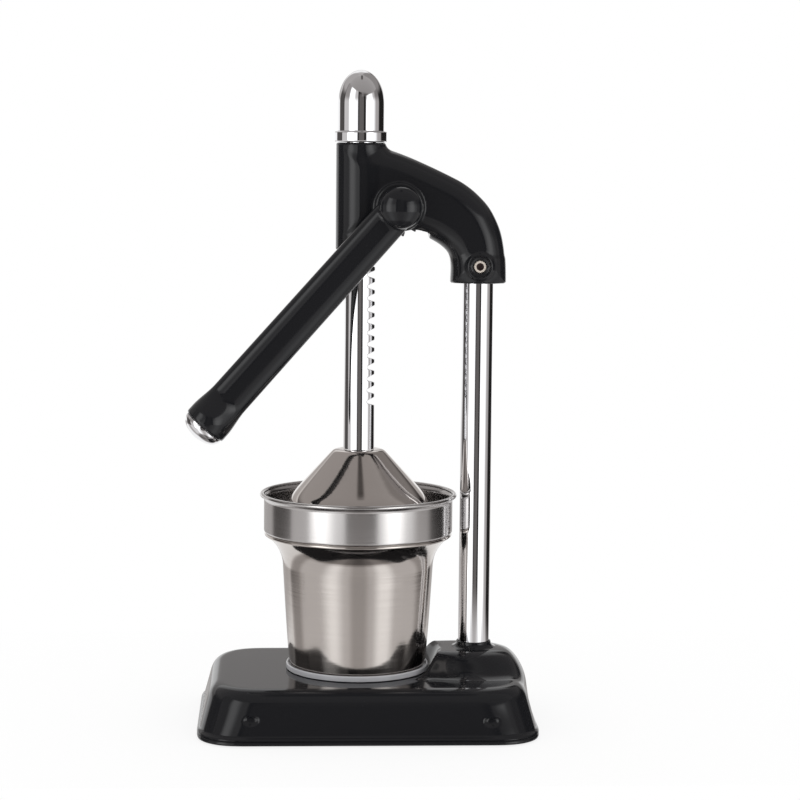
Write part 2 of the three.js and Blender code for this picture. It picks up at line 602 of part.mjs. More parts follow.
function head_arm() {
  const under = arm_line(arm_under_shares);
  const top = arm_line(arm_top_shares);
  const centres = top.map((point, k) => point.clone().add(under[k]).multiplyScalar(1 / 2));
  const rings = centres.map((centre, k) => {
    const share = k / (centres.length - 1);
    const width = THREE.MathUtils.lerp(head.arm_half_width, head.socket_radius, share ** 2);
    const roundness = THREE.MathUtils.lerp(...arm_roundness_shares, share ** 2);
    const up = top[k].clone().sub(centre);
    return section(centre, up, new THREE.Vector3(0, -width, 0), roundness);
  });
  return skin([pole(centres[0], facets.section), ...rings, pole(centres.at(-1), facets.section)]);
}

function head_casting() {
  const barrel_foot = barrel_top - head.barrel_length;
  const edge = head.barrel_radius - head.barrel_edge;
  const barrel = turned([[0, barrel_foot], [head.barrel_radius, barrel_foot],
    [head.barrel_radius, barrel_top - head.barrel_edge], [edge, barrel_top], [0, barrel_top]]);
  const boss_profile = [[0, -boss_y], [head.boss_radius - head.boss_edge, -boss_y],
    [head.boss_radius, head.boss_edge - boss_y], [head.boss_radius, boss_y - head.boss_edge],
    [head.boss_radius - head.boss_edge, boss_y], [0, boss_y]];
  const boss = to_rear(turned(boss_profile)).translate(pinion_x, 0, pinion_z);
  const screw_z = socket_z + head.screw_height;
  const screw_face = head.socket_radius + head.screw_boss_rise;
  const screw_boss = to_front(rod_shape(head.screw_boss_radius, column.radius, screw_face))
    .translate(column.x, 0, screw_z);

  const rod_bore = rod_shape(rod.radius + fit.bore, barrel_foot - fit.overrun, barrel_top + fit.overrun);
  const pocket_radius = crest_radius + head.pocket_clearance;
  const pocket_half = gear.width / 2 + head.pocket_clearance;
  const pocket = to_rear(rod_shape(pocket_radius, -pocket_half, pocket_half)).translate(pinion_x, 0, pinion_z);
  const mouth = block([pinion_x - pocket_radius, -pocket_half, barrel_foot - fit.overrun],
    [pinion_x + pocket_radius, pocket_half, pinion_z]);
  const bush_bore = to_rear(rod_shape(bush.radius + fit.bore, -boss_y - fit.overrun, boss_y + fit.overrun))
    .translate(pinion_x, 0, pinion_z);
  const column_bore = rod_shape(column.radius + fit.bore, socket_z - fit.overrun,
    socket_z + head.socket_depth).translate(column.x, 0, 0);
  const screw_bore = to_front(rod_shape(column_screw.radius + fit.bore, 0, screw_face + fit.overrun,
    facets.small)).translate(column.x, 0, screw_z);
  const countersink = to_front(rod_shape(head.countersink_radius, screw_face - head.countersink_depth,
    screw_face + fit.overrun)).translate(column.x, 0, screw_z);
  return cut(join(head_arm(), barrel, boss, screw_boss), rod_bore, pocket, mouth, bush_bore, column_bore,
    screw_bore, countersink);
}
add(press, 'head_casting', head_casting(), black_enamel);

const screw_front = head.socket_radius + head.screw_boss_rise - head.countersink_depth - column_screw.sunk;
add(press, 'column_screw', to_front(cut(
  rod_shape(column_screw.radius, column.radius + fit.seat, screw_front, facets.small),
  rod_shape(column_screw.hexagon_radius, screw_front - column_screw.hexagon_depth,
    screw_front + fit.overrun, facets.hexagon))), chrome).position.set(column.x, 0, socket_z + head.screw_height);

const bush_inner = gear.width / 2 + head.pocket_clearance;
const bushes = { front_bush: to_front, rear_bush: to_rear };
Object.entries(bushes).forEach(([name, place]) => {
  const geometry = place(tube_shape(shaft.radius + fit.bore, bush.radius, bush_inner, boss_y));
  add(press, name, geometry, bronze).position.set(pinion_x, 0, pinion_z);
});

// What turns with the lever is built with the lever's length along +Z, and then swung to its low stop.
const swing = new THREE.Group();
swing.position.set(pinion_x, 0, pinion_z);
swing.rotation.y = -(Math.PI / 2 + lever_droop);
press.add(swing);

// Involute tooth: half the angle that it fills at a radius.
function tooth_half_angle(radius) {
  const involute = (angle) => Math.tan(angle) - angle;
  const base_radius = pitch_radius * Math.cos(gear_angle);
  const at = Math.acos(Math.min(base_radius / radius, 1));
  return (pitch / 2 - gear.backlash) / 2 / pitch_radius + involute(gear_angle) - involute(at);
}

function pinion() {
  const nearest = Math.round(rack.below_pinion / pitch) * pitch - rack.below_pinion;
  const first = Math.PI - nearest / pitch_radius + swing.rotation.y;
  const flank = steps_of(gear_flank_steps, (share) => THREE.MathUtils.lerp(root_radius, crest_radius, share));
  const outline = Array.from({ length: gear_teeth }, (_, k) => {
    const middle = first + 2 * Math.PI * k / gear_teeth;
    const side = (way) => flank.map((radius) => {
      const angle = middle + way * tooth_half_angle(radius);
      return new THREE.Vector2(radius * Math.cos(angle), radius * Math.sin(angle));
    });
    return [...side(-1), ...side(1).reverse()];
  }).flat();
  const bore = to_rear(rod_shape(shaft.radius + fit.bore, -gear.width, gear.width, facets.small));
  const keyway = block([-key.width / 2 - fit.seat, -gear.width, 0],
    [key.width / 2 + fit.seat, gear.width, shaft.radius + key.height / 2 + fit.seat]);
  return cut(across(outline, -gear.width / 2, gear.width / 2), bore, keyway);
}
add(swing, 'pinion', pinion(), gear_steel);

const recess_floor = hub_front - lever.recess_depth;
const shaft_front = recess_floor - shaft.short;
function pinion_shaft() {
  const ring_near = boss_y;
  const ring_far = ring_near + fit.seat + shaft_ring.thickness + fit.seat;
  const rear = boss_y + shaft.rear_end;
  const neck = shaft.radius - shaft.groove;
  const bar = to_front(turned([[0, -rear], [shaft.radius - shaft.chamfer, -rear],
    [shaft.radius, shaft.chamfer - rear], [shaft.radius, -ring_far], [neck, -ring_far], [neck, -ring_near],
    [shaft.radius, -ring_near], [shaft.radius, boss_y], [0, boss_y]], facets.small));
  const square = block([-shaft.half_square, -shaft_front, -shaft.half_square],
    [shaft.half_square, -gear.width / 2, shaft.half_square]);
  const tapped = to_front(rod_shape(hub_screw.radius + fit.bore, shaft_front - hub_screw.length,
    shaft_front + fit.overrun, facets.screw));
  const keyway = block([-key.width / 2 - fit.seat, -key.length / 2 - fit.seat,
    shaft.radius - key.height / 2 - fit.seat],
  [key.width / 2 + fit.seat, key.length / 2 + fit.seat, shaft.radius + fit.overrun]);
  return cut(join(bar, square), tapped, keyway);
}
add(swing, 'pinion_shaft', pinion_shaft(), gear_steel);
add(swing, 'pinion_key', block([-key.width / 2, -key.length / 2, shaft.radius - key.height / 2],
  [key.width / 2, key.length / 2, shaft.radius + key.height / 2]), gear_steel);

const ring_low = boss_y + fit.seat;
add(swing, 'shaft_ring', to_rear(cut(
  tube_shape(shaft.radius - shaft.groove + fit.bore, shaft_ring.radius, ring_low,
    ring_low + shaft_ring.thickness, facets.small),
  block([0, -shaft_ring.gap / 2, ring_low - fit.overrun],
    [shaft_ring.radius + fit.overrun, shaft_ring.gap / 2, ring_low + fit.overrun]))), zinc);

function lever_arm() {
  const flare_start = lever.length - lever.flare_length;
  const ring_at = (along, bar_half_width, swell, trim = 0) => {
    const half_width = THREE.MathUtils.lerp(bar_half_width, lever.end_radius, swell) - trim;
    const half_thickness = THREE.MathUtils.lerp(lever.half_thickness, lever.end_radius, swell) - trim;
    return section(new THREE.Vector3(0, lever_y, along), new THREE.Vector3(half_width, 0, 0),
      new THREE.Vector3(0, half_thickness, 0), THREE.MathUtils.lerp(...lever_roundness_shares, swell));
  };
  const flare = lever_flare_shares.map(([length_share, swell_share]) => ring_at(THREE.MathUtils.lerp(
    flare_start, lever.length - lever.end_edge, length_share), lever.half_width, swell_share));
  const start = new THREE.Vector3(0, lever_y, 0);
  const end = new THREE.Vector3(0, lever_y, lever.length);
  const arm = skin([pole(start, facets.section), ring_at(0, lever.neck_half_width, 0), ...flare,
    ring_at(lever.length, lever.half_width, 1, lever.end_edge),
    pole(end, facets.section)]);
  const hub = to_front(turned([[0, hub_back], [lever.hub_radius - lever.hub_edge, hub_back],
    [lever.hub_radius, hub_back + lever.hub_edge], [lever.hub_radius, hub_front], [0, hub_front]]));
  const recess = to_front(rod_shape(lever.recess_radius, recess_floor, hub_front + fit.overrun));
  const hole = shaft.half_square + fit.bore;
  const square = block([-hole, -recess_floor - fit.overrun / 2, -hole], [hole, -hub_back + fit.overrun, hole]);
  const end_bore = rod_shape(lever.bore_radius, lever.length - lever.bore_depth, lever.length + fit.overrun)
    .translate(0, lever_y, 0);
  return cut(join(arm, hub), recess, square, end_bore);
}
add(swing, 'lever_arm', lever_arm(), black_enamel);

add(swing, 'hub_screw', to_front(join(
  rod_shape(hub_screw.head_radius, recess_floor + fit.seat, recess_floor + fit.seat + hub_screw.head_height,
    facets.small),
  rod_shape(hub_screw.radius, recess_floor + fit.seat - hub_screw.length,
    recess_floor + fit.seat + hub_screw.head_height / 2, facets.screw))), zinc);

function hub_dome() {
  const foot_h = hub_front + fit.seat;
  const spigot_end = foot_h - hub_cap.spigot_length;
  const hollow_radius = hub_cap.spigot_radius - hub_cap.spigot_wall;
  const hollow_end = foot_h + hub_cap.hollow;
  const dome_foot = foot_h + hub_cap.edge;
  const rise = hub_cap.height - hub_cap.edge;
  const dome = steps_of(facets.dome, (share) => [lever.hub_radius * Math.cos(share * Math.PI / 2),
    dome_foot + rise * Math.sin(share * Math.PI / 2)]);
  dome.at(-1)[0] = 0;
  return to_front(turned([[0, hollow_end], [hollow_radius, hollow_end], [hollow_radius, spigot_end],
    [hub_cap.spigot_radius, spigot_end], [hub_cap.spigot_radius, foot_h], [lever.hub_radius, foot_h],
    ...dome], facets.round));
}
add(swing, 'hub_cap', hub_dome(), black_enamel);

function lever_end_cap() {
  const seat = lever.length + fit.seat;
  const rise = end_cap.height - end_cap.edge - fit.seat;
  const dome = steps_of(facets.dome, (share) => [end_cap.radius * Math.cos(share * Math.PI / 2),
    seat + end_cap.edge + rise * Math.sin(share * Math.PI / 2)]);
  dome.at(-1)[0] = 0;
  return turned([[0, lever.length - end_cap.spigot_length],
    [end_cap.spigot_radius, lever.length - end_cap.spigot_length], [end_cap.spigot_radius, seat],
    [end_cap.radius, seat], ...dome], facets.round);
}
add(swing, 'lever_end_cap', lever_end_cap(), chrome).position.y = lever_y;

export default press;
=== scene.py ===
"""A lever press for citrus fruit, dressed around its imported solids. Metres, +Z up, front towards -Y."""

import bmesh
import bpy
import numpy as np
from mathutils import Matrix, Vector


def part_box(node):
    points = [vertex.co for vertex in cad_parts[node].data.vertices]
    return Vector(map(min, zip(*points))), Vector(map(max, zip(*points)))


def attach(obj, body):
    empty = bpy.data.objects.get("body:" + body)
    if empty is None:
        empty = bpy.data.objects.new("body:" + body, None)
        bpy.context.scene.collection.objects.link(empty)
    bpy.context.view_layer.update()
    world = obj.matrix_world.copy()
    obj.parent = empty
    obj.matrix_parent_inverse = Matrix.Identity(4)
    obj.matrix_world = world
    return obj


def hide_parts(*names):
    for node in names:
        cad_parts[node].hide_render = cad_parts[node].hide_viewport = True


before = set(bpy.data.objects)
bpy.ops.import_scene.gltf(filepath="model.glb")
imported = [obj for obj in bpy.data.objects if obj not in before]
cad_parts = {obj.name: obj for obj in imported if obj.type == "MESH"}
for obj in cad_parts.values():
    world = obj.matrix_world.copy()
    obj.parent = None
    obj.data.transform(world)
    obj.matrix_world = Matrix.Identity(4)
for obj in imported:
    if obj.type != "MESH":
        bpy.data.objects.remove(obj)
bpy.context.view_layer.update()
scene = bpy.context.scene
scene.view_settings.view_transform = "Standard"
MM = 0.001


# Camera: a long lens at the height of the lever's hub, a little left of the ram and looking slightly down,
# turned by half a degree as a hand-levelled tripod leaves it.
view_turn, view_pitch, view_roll = np.radians([-3.05, 6.06, 0.53])
view_place = Vector((-49.4, -1401.1, 348.3)) * MM
lens = bpy.data.cameras.new("lens")
lens.sensor_width = 36.0
lens.lens = 103.0
lens.clip_end = 100.0
camera = bpy.data.objects.new("camera", lens)
scene.collection.objects.link(camera)
camera.matrix_world = (Matrix.Translation(view_place) @ Matrix.Rotation(view_turn, 4, "Z")
                       @ Matrix.Rotation(np.pi / 2 - view_pitch, 4, "X") @ Matrix.Rotation(view_roll, 4, "Z"))
scene.camera = camera


# Studio: two white panels with brighter middles, a dark slot between them for the lens, dark flags at the
# sides, a brown-grey roof, a pale table below and a white backdrop. Only shiny metal shows these: the camera
# and matt colours see plain white.
class Flow:
    """A shader socket that plain arithmetic can be written on. `node` adds a node of any kind."""

    def __init__(self, tree, socket=None):
        self.tree, self.socket = tree, socket

    def feed(self, target, value):
        if isinstance(value, Flow):
            self.tree.links.new(value.socket, target)
        else:
            target.default_value = value

    def node(self, kind, inputs=None, output=0, settings=None):
        added = self.tree.nodes.new("ShaderNode" + kind)
        for key, value in (settings or {}).items():
            if key == "stops":
                ramp = added.color_ramp.elements
                while len(ramp) < len(value):
                    ramp.new(1.0)
                for stop, (place, shade) in zip(ramp, value):
                    stop.position, stop.color = place, shade
            else:
                setattr(added, key, value)
        for key, value in (inputs or {}).items():
            self.feed(added.inputs[key], value)
        return Flow(self.tree, added.outputs[output] if added.outputs else None)

    def maths(self, operation, *values):
        return self.node("Math", dict(enumerate(values)), settings={"operation": operation})

    def step(self, low, high):
        """Rises smoothly from 0 at low to 1 at high."""
        return self.node("MapRange", {"Value": self, "From Min": low, "From Max": high},
                         settings={"interpolation_type": "SMOOTHSTEP"})

    def between(self, low, full, thin, high):
        """Rises from low to full and falls again from thin to high."""
        return self.step(low, full) * (1 - self.step(thin, high))

    def blend(self, first, second):
        """The first colour where this is 0 and the second where it is 1."""
        return self.node("Mix", {0: self, 6: first, 7: second}, 2, {"data_type": "RGBA"})

    def __add__(self, other):
        return self.maths("ADD", self, other)

    def __sub__(self, other):
        return self.maths("SUBTRACT", self, other)

    def __mul__(self, other):
        return self.maths("MULTIPLY", self, other)

    def __rsub__(self, other):
        return self.maths("SUBTRACT", other, self)

    def __abs__(self):
        return self.maths("ABSOLUTE", self)

    __radd__, __rmul__ = __add__, __mul__


def grey(level):
    return (level, level, level, 1.0)


world = bpy.data.worlds.new("studio")
scene.world = world
world.use_nodes = True
world.node_tree.nodes.clear()
sky = Flow(world.node_tree)
direction = sky.node("TexCoord")
across, depth, height = (sky.node("SeparateXYZ", {0: direction}, k) for k in range(3))

# In degrees, turn goes from the lens's side towards +X, side is its size, and rise is up from the horizon.
# Over is the share of a half circle from the horizon at the lens to the one behind the press. White is 1.
turn = across.maths("ARCTAN2", across, 0 - depth) * np.degrees(1.0)
side = abs(turn)
rise = height.maths("ARCSINE", height) * np.degrees(1.0)
over = abs(height.maths("ARCTAN2", height, 0 - depth)) * (1 / np.pi)
panel_level, core_level, slot_level, dark_level, left_flag_level = 1.2, 1.6, 0.12, 0.016, 0.07

left_panel = turn.between(-65, -60, -19, -16) * panel_level + turn.between(-94, -90, -65, -60) * 0.62
right_panel = turn.between(20, 23, 62, 78) * panel_level + turn.between(62, 78, 90, 100) * 0.42
left_core = turn.between(-68, -52, -46, -28) * core_level
right_core = turn.between(22, 40, 46, 62) * core_level
left_top = (rise - side * 0.167 - 28.0 + side.step(88.0, 118.0) * 22.0).step(-2.0, 2.0)
right_top = (rise - side * 0.11 - 17.5).step(-2.0, 2.0)
fade = 1 - 0.5 * rise.step(5.0, 17.0)
panels = ((left_panel * fade + left_core) * (1 - left_top)
          + (right_panel * fade + right_core) * (1 - right_top))
slot = (1 - side.step(9.0, 14.0)) * (1 - rise.step(20.0, 30.0)) * slot_level

table = (0.74 + 0.5 * (turn.between(-64, -42, -40, -20) + turn.between(20, 36, 44, 62))
         - 0.24 * (1 - side.step(6.0, 20.0)) - 0.3 * side.between(96, 110, 120, 134))
on_table = rise.step(-12.5, -15.0)
under_press = 0.75 * rise.step(-44.0, -58.0)

roof_levels = [(0.0, 0.06), (0.13, 0.08), (0.17, 0.3), (0.47, 0.38), (0.55, 0.42), (0.65, 0.55), (0.70, 1.0),
               (0.872, 1.0), (0.889, 0.55), (0.95, 0.5), (0.967, 1.05)]
roof = over.node("ValToRGB", {"Fac": over},
                 settings={"stops": [(share, grey(level)) for share, level in roof_levels]})
boom = (1 - abs(across - 0.04).step(0.03, 0.11)) * (1 - depth.step(0.0, 0.1)) * rise.step(67.0, 75.0)

turned_left = turn.step(1.0, -1.0)
above = left_top * turned_left + right_top * (1 - turned_left)
backdrop_side = 146 - 16 * turned_left + 18 * rise.step(15.0, 24.0)
behind = (side - backdrop_side).step(-4.0, 4.0)
beside = side.step(92, 98) * (1 - behind)
flank = side.between(88, 100, 148, 162) * rise.step(14.0, 28.0) * (1 - rise.step(72.0, 84.0))
open_sky = behind.maths("MAXIMUM", behind, above * (1 - beside * (1 - rise.step(26.0, 38.0))))

tent = dark_level + turned_left * beside * left_flag_level + panels * (1 - behind) + slot
tent = tent + roof * open_sky * (1 - 0.8 * boom)
tent = tent + flank * (0.28 + 0.15 * turned_left - tent)
tent = tent * (1 - on_table) + on_table * (table * (1 - behind) + behind) * (1 - under_press)
pale = tent.maths("MINIMUM", tent, 1.0)
tent_colour = tent.node("CombineColor", {0: tent, 1: tent * (0.92 + 0.08 * pale),
                                         2: tent * (0.89 + 0.11 * pale)})
shine = sky.node("LightPath", output=3)
tent_light = sky.node("Background", {"Color": tent_colour, "Strength": 1.0})
plain_light = sky.node("Background", {"Color": grey(1.0), "Strength": 1.0})
mixed_light = sky.node("MixShader", {0: shine, 1: plain_light, 2: tent_light})
sky.node("OutputWorld", {"Surface": mixed_light})

# The floor is a white sheet. The camera sees mostly its own white and a soft shadow under the press, and
# shiny metal sees through it to the table.
floor_half, floor_back, floor_glow = (0.30, 0.21), 0.05, 0.82
corners = [(-1, -1), (1, -1), (1, 1), (-1, 1)]
floor_mesh = bpy.data.meshes.new("floor")
floor_mesh.from_pydata([(x * floor_half[0], y * floor_half[1] + floor_back, 0.0) for x, y in corners], [],
                       [(0, 1, 2, 3)])
floor = bpy.data.objects.new("floor", floor_mesh)
scene.collection.objects.link(floor)
sheet = bpy.data.materials.new("white_sheet")
sheet.use_nodes = True
sheet.node_tree.nodes.clear()
paper = Flow(sheet.node_tree)
from_lens, from_metal = (paper.node("LightPath", output=k) for k in (0, 3))
matt = paper.node("BsdfDiffuse", {"Color": grey(1.0)})
glow = paper.node("Emission", {"Color": grey(1.0), "Strength": 1.0})
surface = paper.node("MixShader", {0: from_lens * floor_glow, 1: matt, 2: glow})
clear = paper.node("BsdfTransparent")
surface = paper.node("MixShader", {0: from_metal, 1: surface, 2: clear})
paper.node("OutputMaterial", {"Surface": surface})
floor_mesh.materials.append(sheet)


# Base: a shell pressed from sheet steel and enamelled gloss black. Its wall leans in from a foot rim to a
# broad shoulder, and a spine rises from the shelf under the column. Two dimples are pressed in the front
# wall.
class Finish(Flow):
    """A new material that noise and other nodes are added to. `cover` feeds its shader and returns it."""

    def __init__(self, name, metallic=0.0):
        self.made = bpy.data.materials.new(name)
        self.made.use_nodes = True
        super().__init__(self.made.node_tree)
        self.inputs = self.tree.nodes["Principled BSDF"].inputs
        self.inputs["Metallic"].default_value = metallic

    def noise(self, scale, squeeze=(1, 1, 1), detail=3.0):
        """Noise at a scale per metre, squeezed along each axis by the three factors."""
        place = self.node("TexCoord", output=3)
        held = self.node("Mapping", {"Vector": place, "Scale": squeeze})
        return self.node("TexNoise", {"Vector": held, "Scale": scale, "Detail": detail, "Roughness": 0.55})

    def cover(self, share, low, high, roughness, bumps=None, strength=1.0, distance=1.0):
        """The colour runs from low to high with the share. Bumps, so many metres high, tilt the surface."""
        self.feed(self.inputs["Base Color"], share.blend((*low, 1), (*high, 1)))
        self.feed(self.inputs["Roughness"], roughness)
        if bumps is not None:
            tilted = self.node("Bump", {"Height": bumps, "Strength": strength, "Distance": distance})
            self.feed(self.inputs["Normal"], tilted)
        return self.made


def enamel(name, ripple, softness):
    """Gloss black enamel: faint ripples from the spray gun, fine dust and a slightly uneven gloss."""
    new = Finish(name)
    new.inputs["Specular IOR Level"].default_value = 0.32
    cloud, speck = new.noise(22.0, detail=4.0), new.noise(900.0, detail=1.0)
    return new.cover(speck.step(0.73, 0.78), (0.0105, 0.0108, 0.0125), (0.016, 0.016, 0.018),
                     softness + cloud * 0.05 + speck.step(0.72, 0.78) * 0.1,
                     new.noise(55.0, detail=1.0), ripple * 0.12, 0.0006)


def put(name, points, faces, material, body, *nodes, slot=None, sharp=34.0):
    """A new piece from points (n, 3) in metres and faces (m, 4) or (m, 3). Doubled points are merged."""
    mesh = bpy.data.meshes.new(name)
    mesh.from_pydata(points.tolist(), [], faces.tolist())
    work = bmesh.new()
    work.from_mesh(mesh)
    bmesh.ops.remove_doubles(work, verts=work.verts, dist=2e-6)
    bmesh.ops.dissolve_degenerate(work, edges=work.edges, dist=1e-7)
    work.to_mesh(mesh)
    work.free()
    mesh.polygons.foreach_set("use_smooth", np.ones(len(mesh.polygons), bool))
    mesh.set_sharp_from_angle(angle=np.radians(sharp))
    mesh.materials.append(material)
    piece = bpy.data.objects.new(name, mesh)
    scene.collection.objects.link(piece)
    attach(piece, body)
    if nodes:
        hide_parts(*nodes)


def grid_faces(rows, columns, round_rows=False):
    """Faces of a grid of points whose columns go all round. They face out where columns run counter-
    clockwise, seen from the side that the rows climb to."""
    row = np.arange(rows if round_rows else rows - 1)[:, None]
    column = np.arange(columns)[None]
    after, beside = (row + 1) % rows, (column + 1) % columns
    corners = [row * columns + column, row * columns + beside, after * columns + beside,
               after * columns + column]
    return np.stack(np.broadcast_arrays(*corners), -1).reshape(-1, 4)


def steps(low, high, value):
    """Smooth step from 0 to 1: 3t^2 - 2t^3 of the share t of the way from low to high."""
    share = np.clip((value - low) / (high - low), 0.0, 1.0)
    return share * share * (3 - 2 * share)


def curve_through(points, count):
    """Catmull-Rom curve through the points."""
    points = np.array(points, float)
    padded = np.concatenate([2 * points[:1] - points[1:2], points, 2 * points[-1:] - points[-2:-1]])
    place = np.linspace(0, len(points) - 1, count)
    k = np.minimum(place.astype(int), len(points) - 2)
    t = (place - k)[:, None]
    a, b, c, d = (padded[k + n] for n in range(4))
    return 0.5 * (2 * b + (c - a) * t + (2 * a - 5 * b + 4 * c - d) * t ** 2
                  + (3 * b - a - 3 * c + d) * t ** 3)


def mm(*values):
    return [value * MM for value in values]


base_low, base_high = np.array(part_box("base_shell"))
base_middle, base_half = (base_high + base_low)[:2] / 2, (base_high - base_low)[:2] / 2
column_low, column_high = np.array(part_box("column"))
column_x = (column_low[0] + column_high[0]) / 2
ring_low, ring_high = np.array(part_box("cup_ring"))
ring_radius, shelf_z, rim_z = ring_high[1], ring_low[2] - 0.3 * MM, base_low[2]
rim_corner, top_corner, rim_height, rim_lip, base_wall = mm(33.0, 50.0, 3.0, 1.6, 1.8)
base_lean, lean_top, shoulder = mm(4.5, 9.0, 10.4)
rim_bead = np.array([0.5, 1.2]) * MM
spine_rise, spine_width, spine_gap, spine_ramp, spine_bulge = mm(13.2, 45.0, 0.9, 7.5, 2.9)
spine_end, spine_end_reach = 57.0 * MM, 72.0 * MM
spine_crest, spine_foot_share, spine_power = 0.32, 0.3, 2.5
spine_widths = curve_through([[0, 0.84], [0.39, 0.88], [0.5, 0.93], [0.6, 0.98], [0.73, 1], [0.86, 0.97],
                              [1, 0.9]], 120)
dimple_places = np.array([[-65.0, 15.2], [78.0, 14.2]]) * MM
dimple_half, dimple_depth = np.array([5.2, 3.3]) * MM, 1.5 * MM


def arc(centre, radius, first, last, count):
    """Points on part of a circle, or of an oval where the radius is a pair."""
    turn = np.linspace(first, last, count)
    return np.array(centre) + np.array(radius) * np.stack([np.cos(turn), np.sin(turn)], 1)


def eased_bend(count, sweep):
    """Turns and places along a bend of unit length: its curvature rises smoothly, stays, and falls again, the
    turn is that curvature's running sum, and the places are the running sum of the directions."""
    ease, parts = 0.35, 40
    t = np.linspace(0, 1, parts * (count - 1) + 1)
    curvature = steps(0, ease, t) * (1 - steps(1 - ease, 1, t))
    turn = np.concatenate([[0], np.cumsum(curvature[1:] + curvature[:-1])])
    turn *= sweep / turn[-1]
    way = np.stack([np.cos(turn), np.sin(turn)], 1)
    places = np.concatenate([[[0, 0]], np.cumsum(way[1:] + way[:-1], 0)]) / 2 / (len(t) - 1)
    return turn[::parts], places[::parts]


def base_outline(corner):
    """An outline as points and inward normals: eased corners with straight sides between, and more points on
    the front where the dimples are and on the sides that the spine crosses."""
    places, normals = [], []
    for quarter, (side_x, side_y) in enumerate([(1, 1), (-1, 1), (-1, -1), (1, -1)]):
        angle = (quarter + 1) * np.pi / 2
        along = np.array([np.cos(angle), np.sin(angle)])
        beyond = np.array([-along[1], along[0]])
        turn, bend = eased_bend((41, 41, 81, 81)[quarter], np.pi / 2)
        bend = bend * corner / bend[-1, 0]
        way = np.cos(turn)[:, None] * along + np.sin(turn)[:, None] * beyond
        start = base_middle + np.array([side_x, side_y]) * base_half - corner * along
        places.append(start + bend[:, :1] * along + bend[:, 1:] * beyond)
        normals.append(np.stack([-way[:, 1], way[:, 0]], 1))
        run = 2 * (base_half - corner)[quarter % 2]
        count = (108, 30, 250, 64)[quarter]
        places.append(places[-1][-1] + np.arange(1, count)[:, None] / count * run * beyond)
        normals.append(np.repeat(normals[-1][-1:], count - 1, 0))
    return np.concatenate(places), np.concatenate(normals)


def spine_arch(x, y):
    """Share of the spine's rise: a crest whose flanks and rounded end fall by 6t^5 - 15t^4 + 10t^3, times the
    same curve up the ramp round the cup's ring."""
    def eased(low, high, value):
        t = np.clip((value - low) / (high - low), 0, 1)
        return t ** 3 * (t * (6 * t - 15) + 10)
    width = spine_width * np.interp(x / base_high[0], *spine_widths.T)
    away = ((np.abs(y) / width) ** spine_power
            + (np.maximum(x - spine_end, 0) / spine_end_reach) ** spine_power) ** (1 / spine_power)
    start = ring_radius + spine_gap
    ramp = eased(start, start + spine_ramp, np.hypot(x, y))
    return np.where(x > 0, (1 - eased(spine_crest, 1.0, away)) * ramp, 0.0)


def dimple(x, z):
    """Depth of the two pressed marks: half-round wells with a flat top edge, like a letter D on its back."""
    well = np.zeros_like(x)
    for place_x, place_z in dimple_places:
        u, v = (x - place_x) / dimple_half[0], (z - place_z) / dimple_half[1]
        reach = np.hypot(u, np.maximum(-v, 0) + 0.9 * np.maximum(v, 0))
        well += (1 - steps(0.45, 1.0, reach)) * (1 - steps(0.45, 0.75, v))
    return well * dimple_depth


def base_profile():
    """Rows of the shell as (inset, level, share of the way to the middle): from under the shelf down the
    inside, round the rim, up the leaning wall, over an eased shoulder and in to the middle."""
    wall_z = rim_z + rim_height + rim_lip
    lean = np.arctan2(base_lean, shelf_z - lean_top - wall_z)
    up, across = np.array([np.sin(lean), np.cos(lean)]), np.array([np.cos(lean), -np.sin(lean)])
    turn, bend = eased_bend(25, np.pi / 2 - lean)
    over = bend[:, :1] * up + bend[:, 1:] * across
    over *= shoulder / over[-1, 1]
    over += (rim_lip + (shelf_z - shoulder - wall_z) * np.tan(lean), shelf_z - shoulder)
    square = np.cos(turn)[:, None] * across - np.sin(turn)[:, None] * up
    under = (over + base_wall * square)[::-4]
    climb = np.linspace(0.04, 0.96, 24)[:, None]
    wall = np.array([rim_lip, wall_z]) * (1 - climb) + over[0] * climb
    rim = arc(rim_bead + (0, rim_z), rim_bead * (-1, 1), -np.pi / 2, np.pi / 2, 7)
    lip = arc((rim_lip, rim_z + rim_height), (-rim_lip, rim_lip), 0, 1.2, 5)
    inside = [[rim_lip + base_wall, rim_z]]
    rows = np.concatenate([np.repeat(under[:1], 16, 0), under, inside, rim, lip, wall, over,
                           np.repeat(over[-1:], 50, 0)])
    middle = np.concatenate([np.linspace(1, 0.02, 16), np.zeros(len(rows) - 66), np.linspace(0.02, 1, 50)])
    return rows[:, 0], rows[:, 1], middle, 16 + len(under) + 1


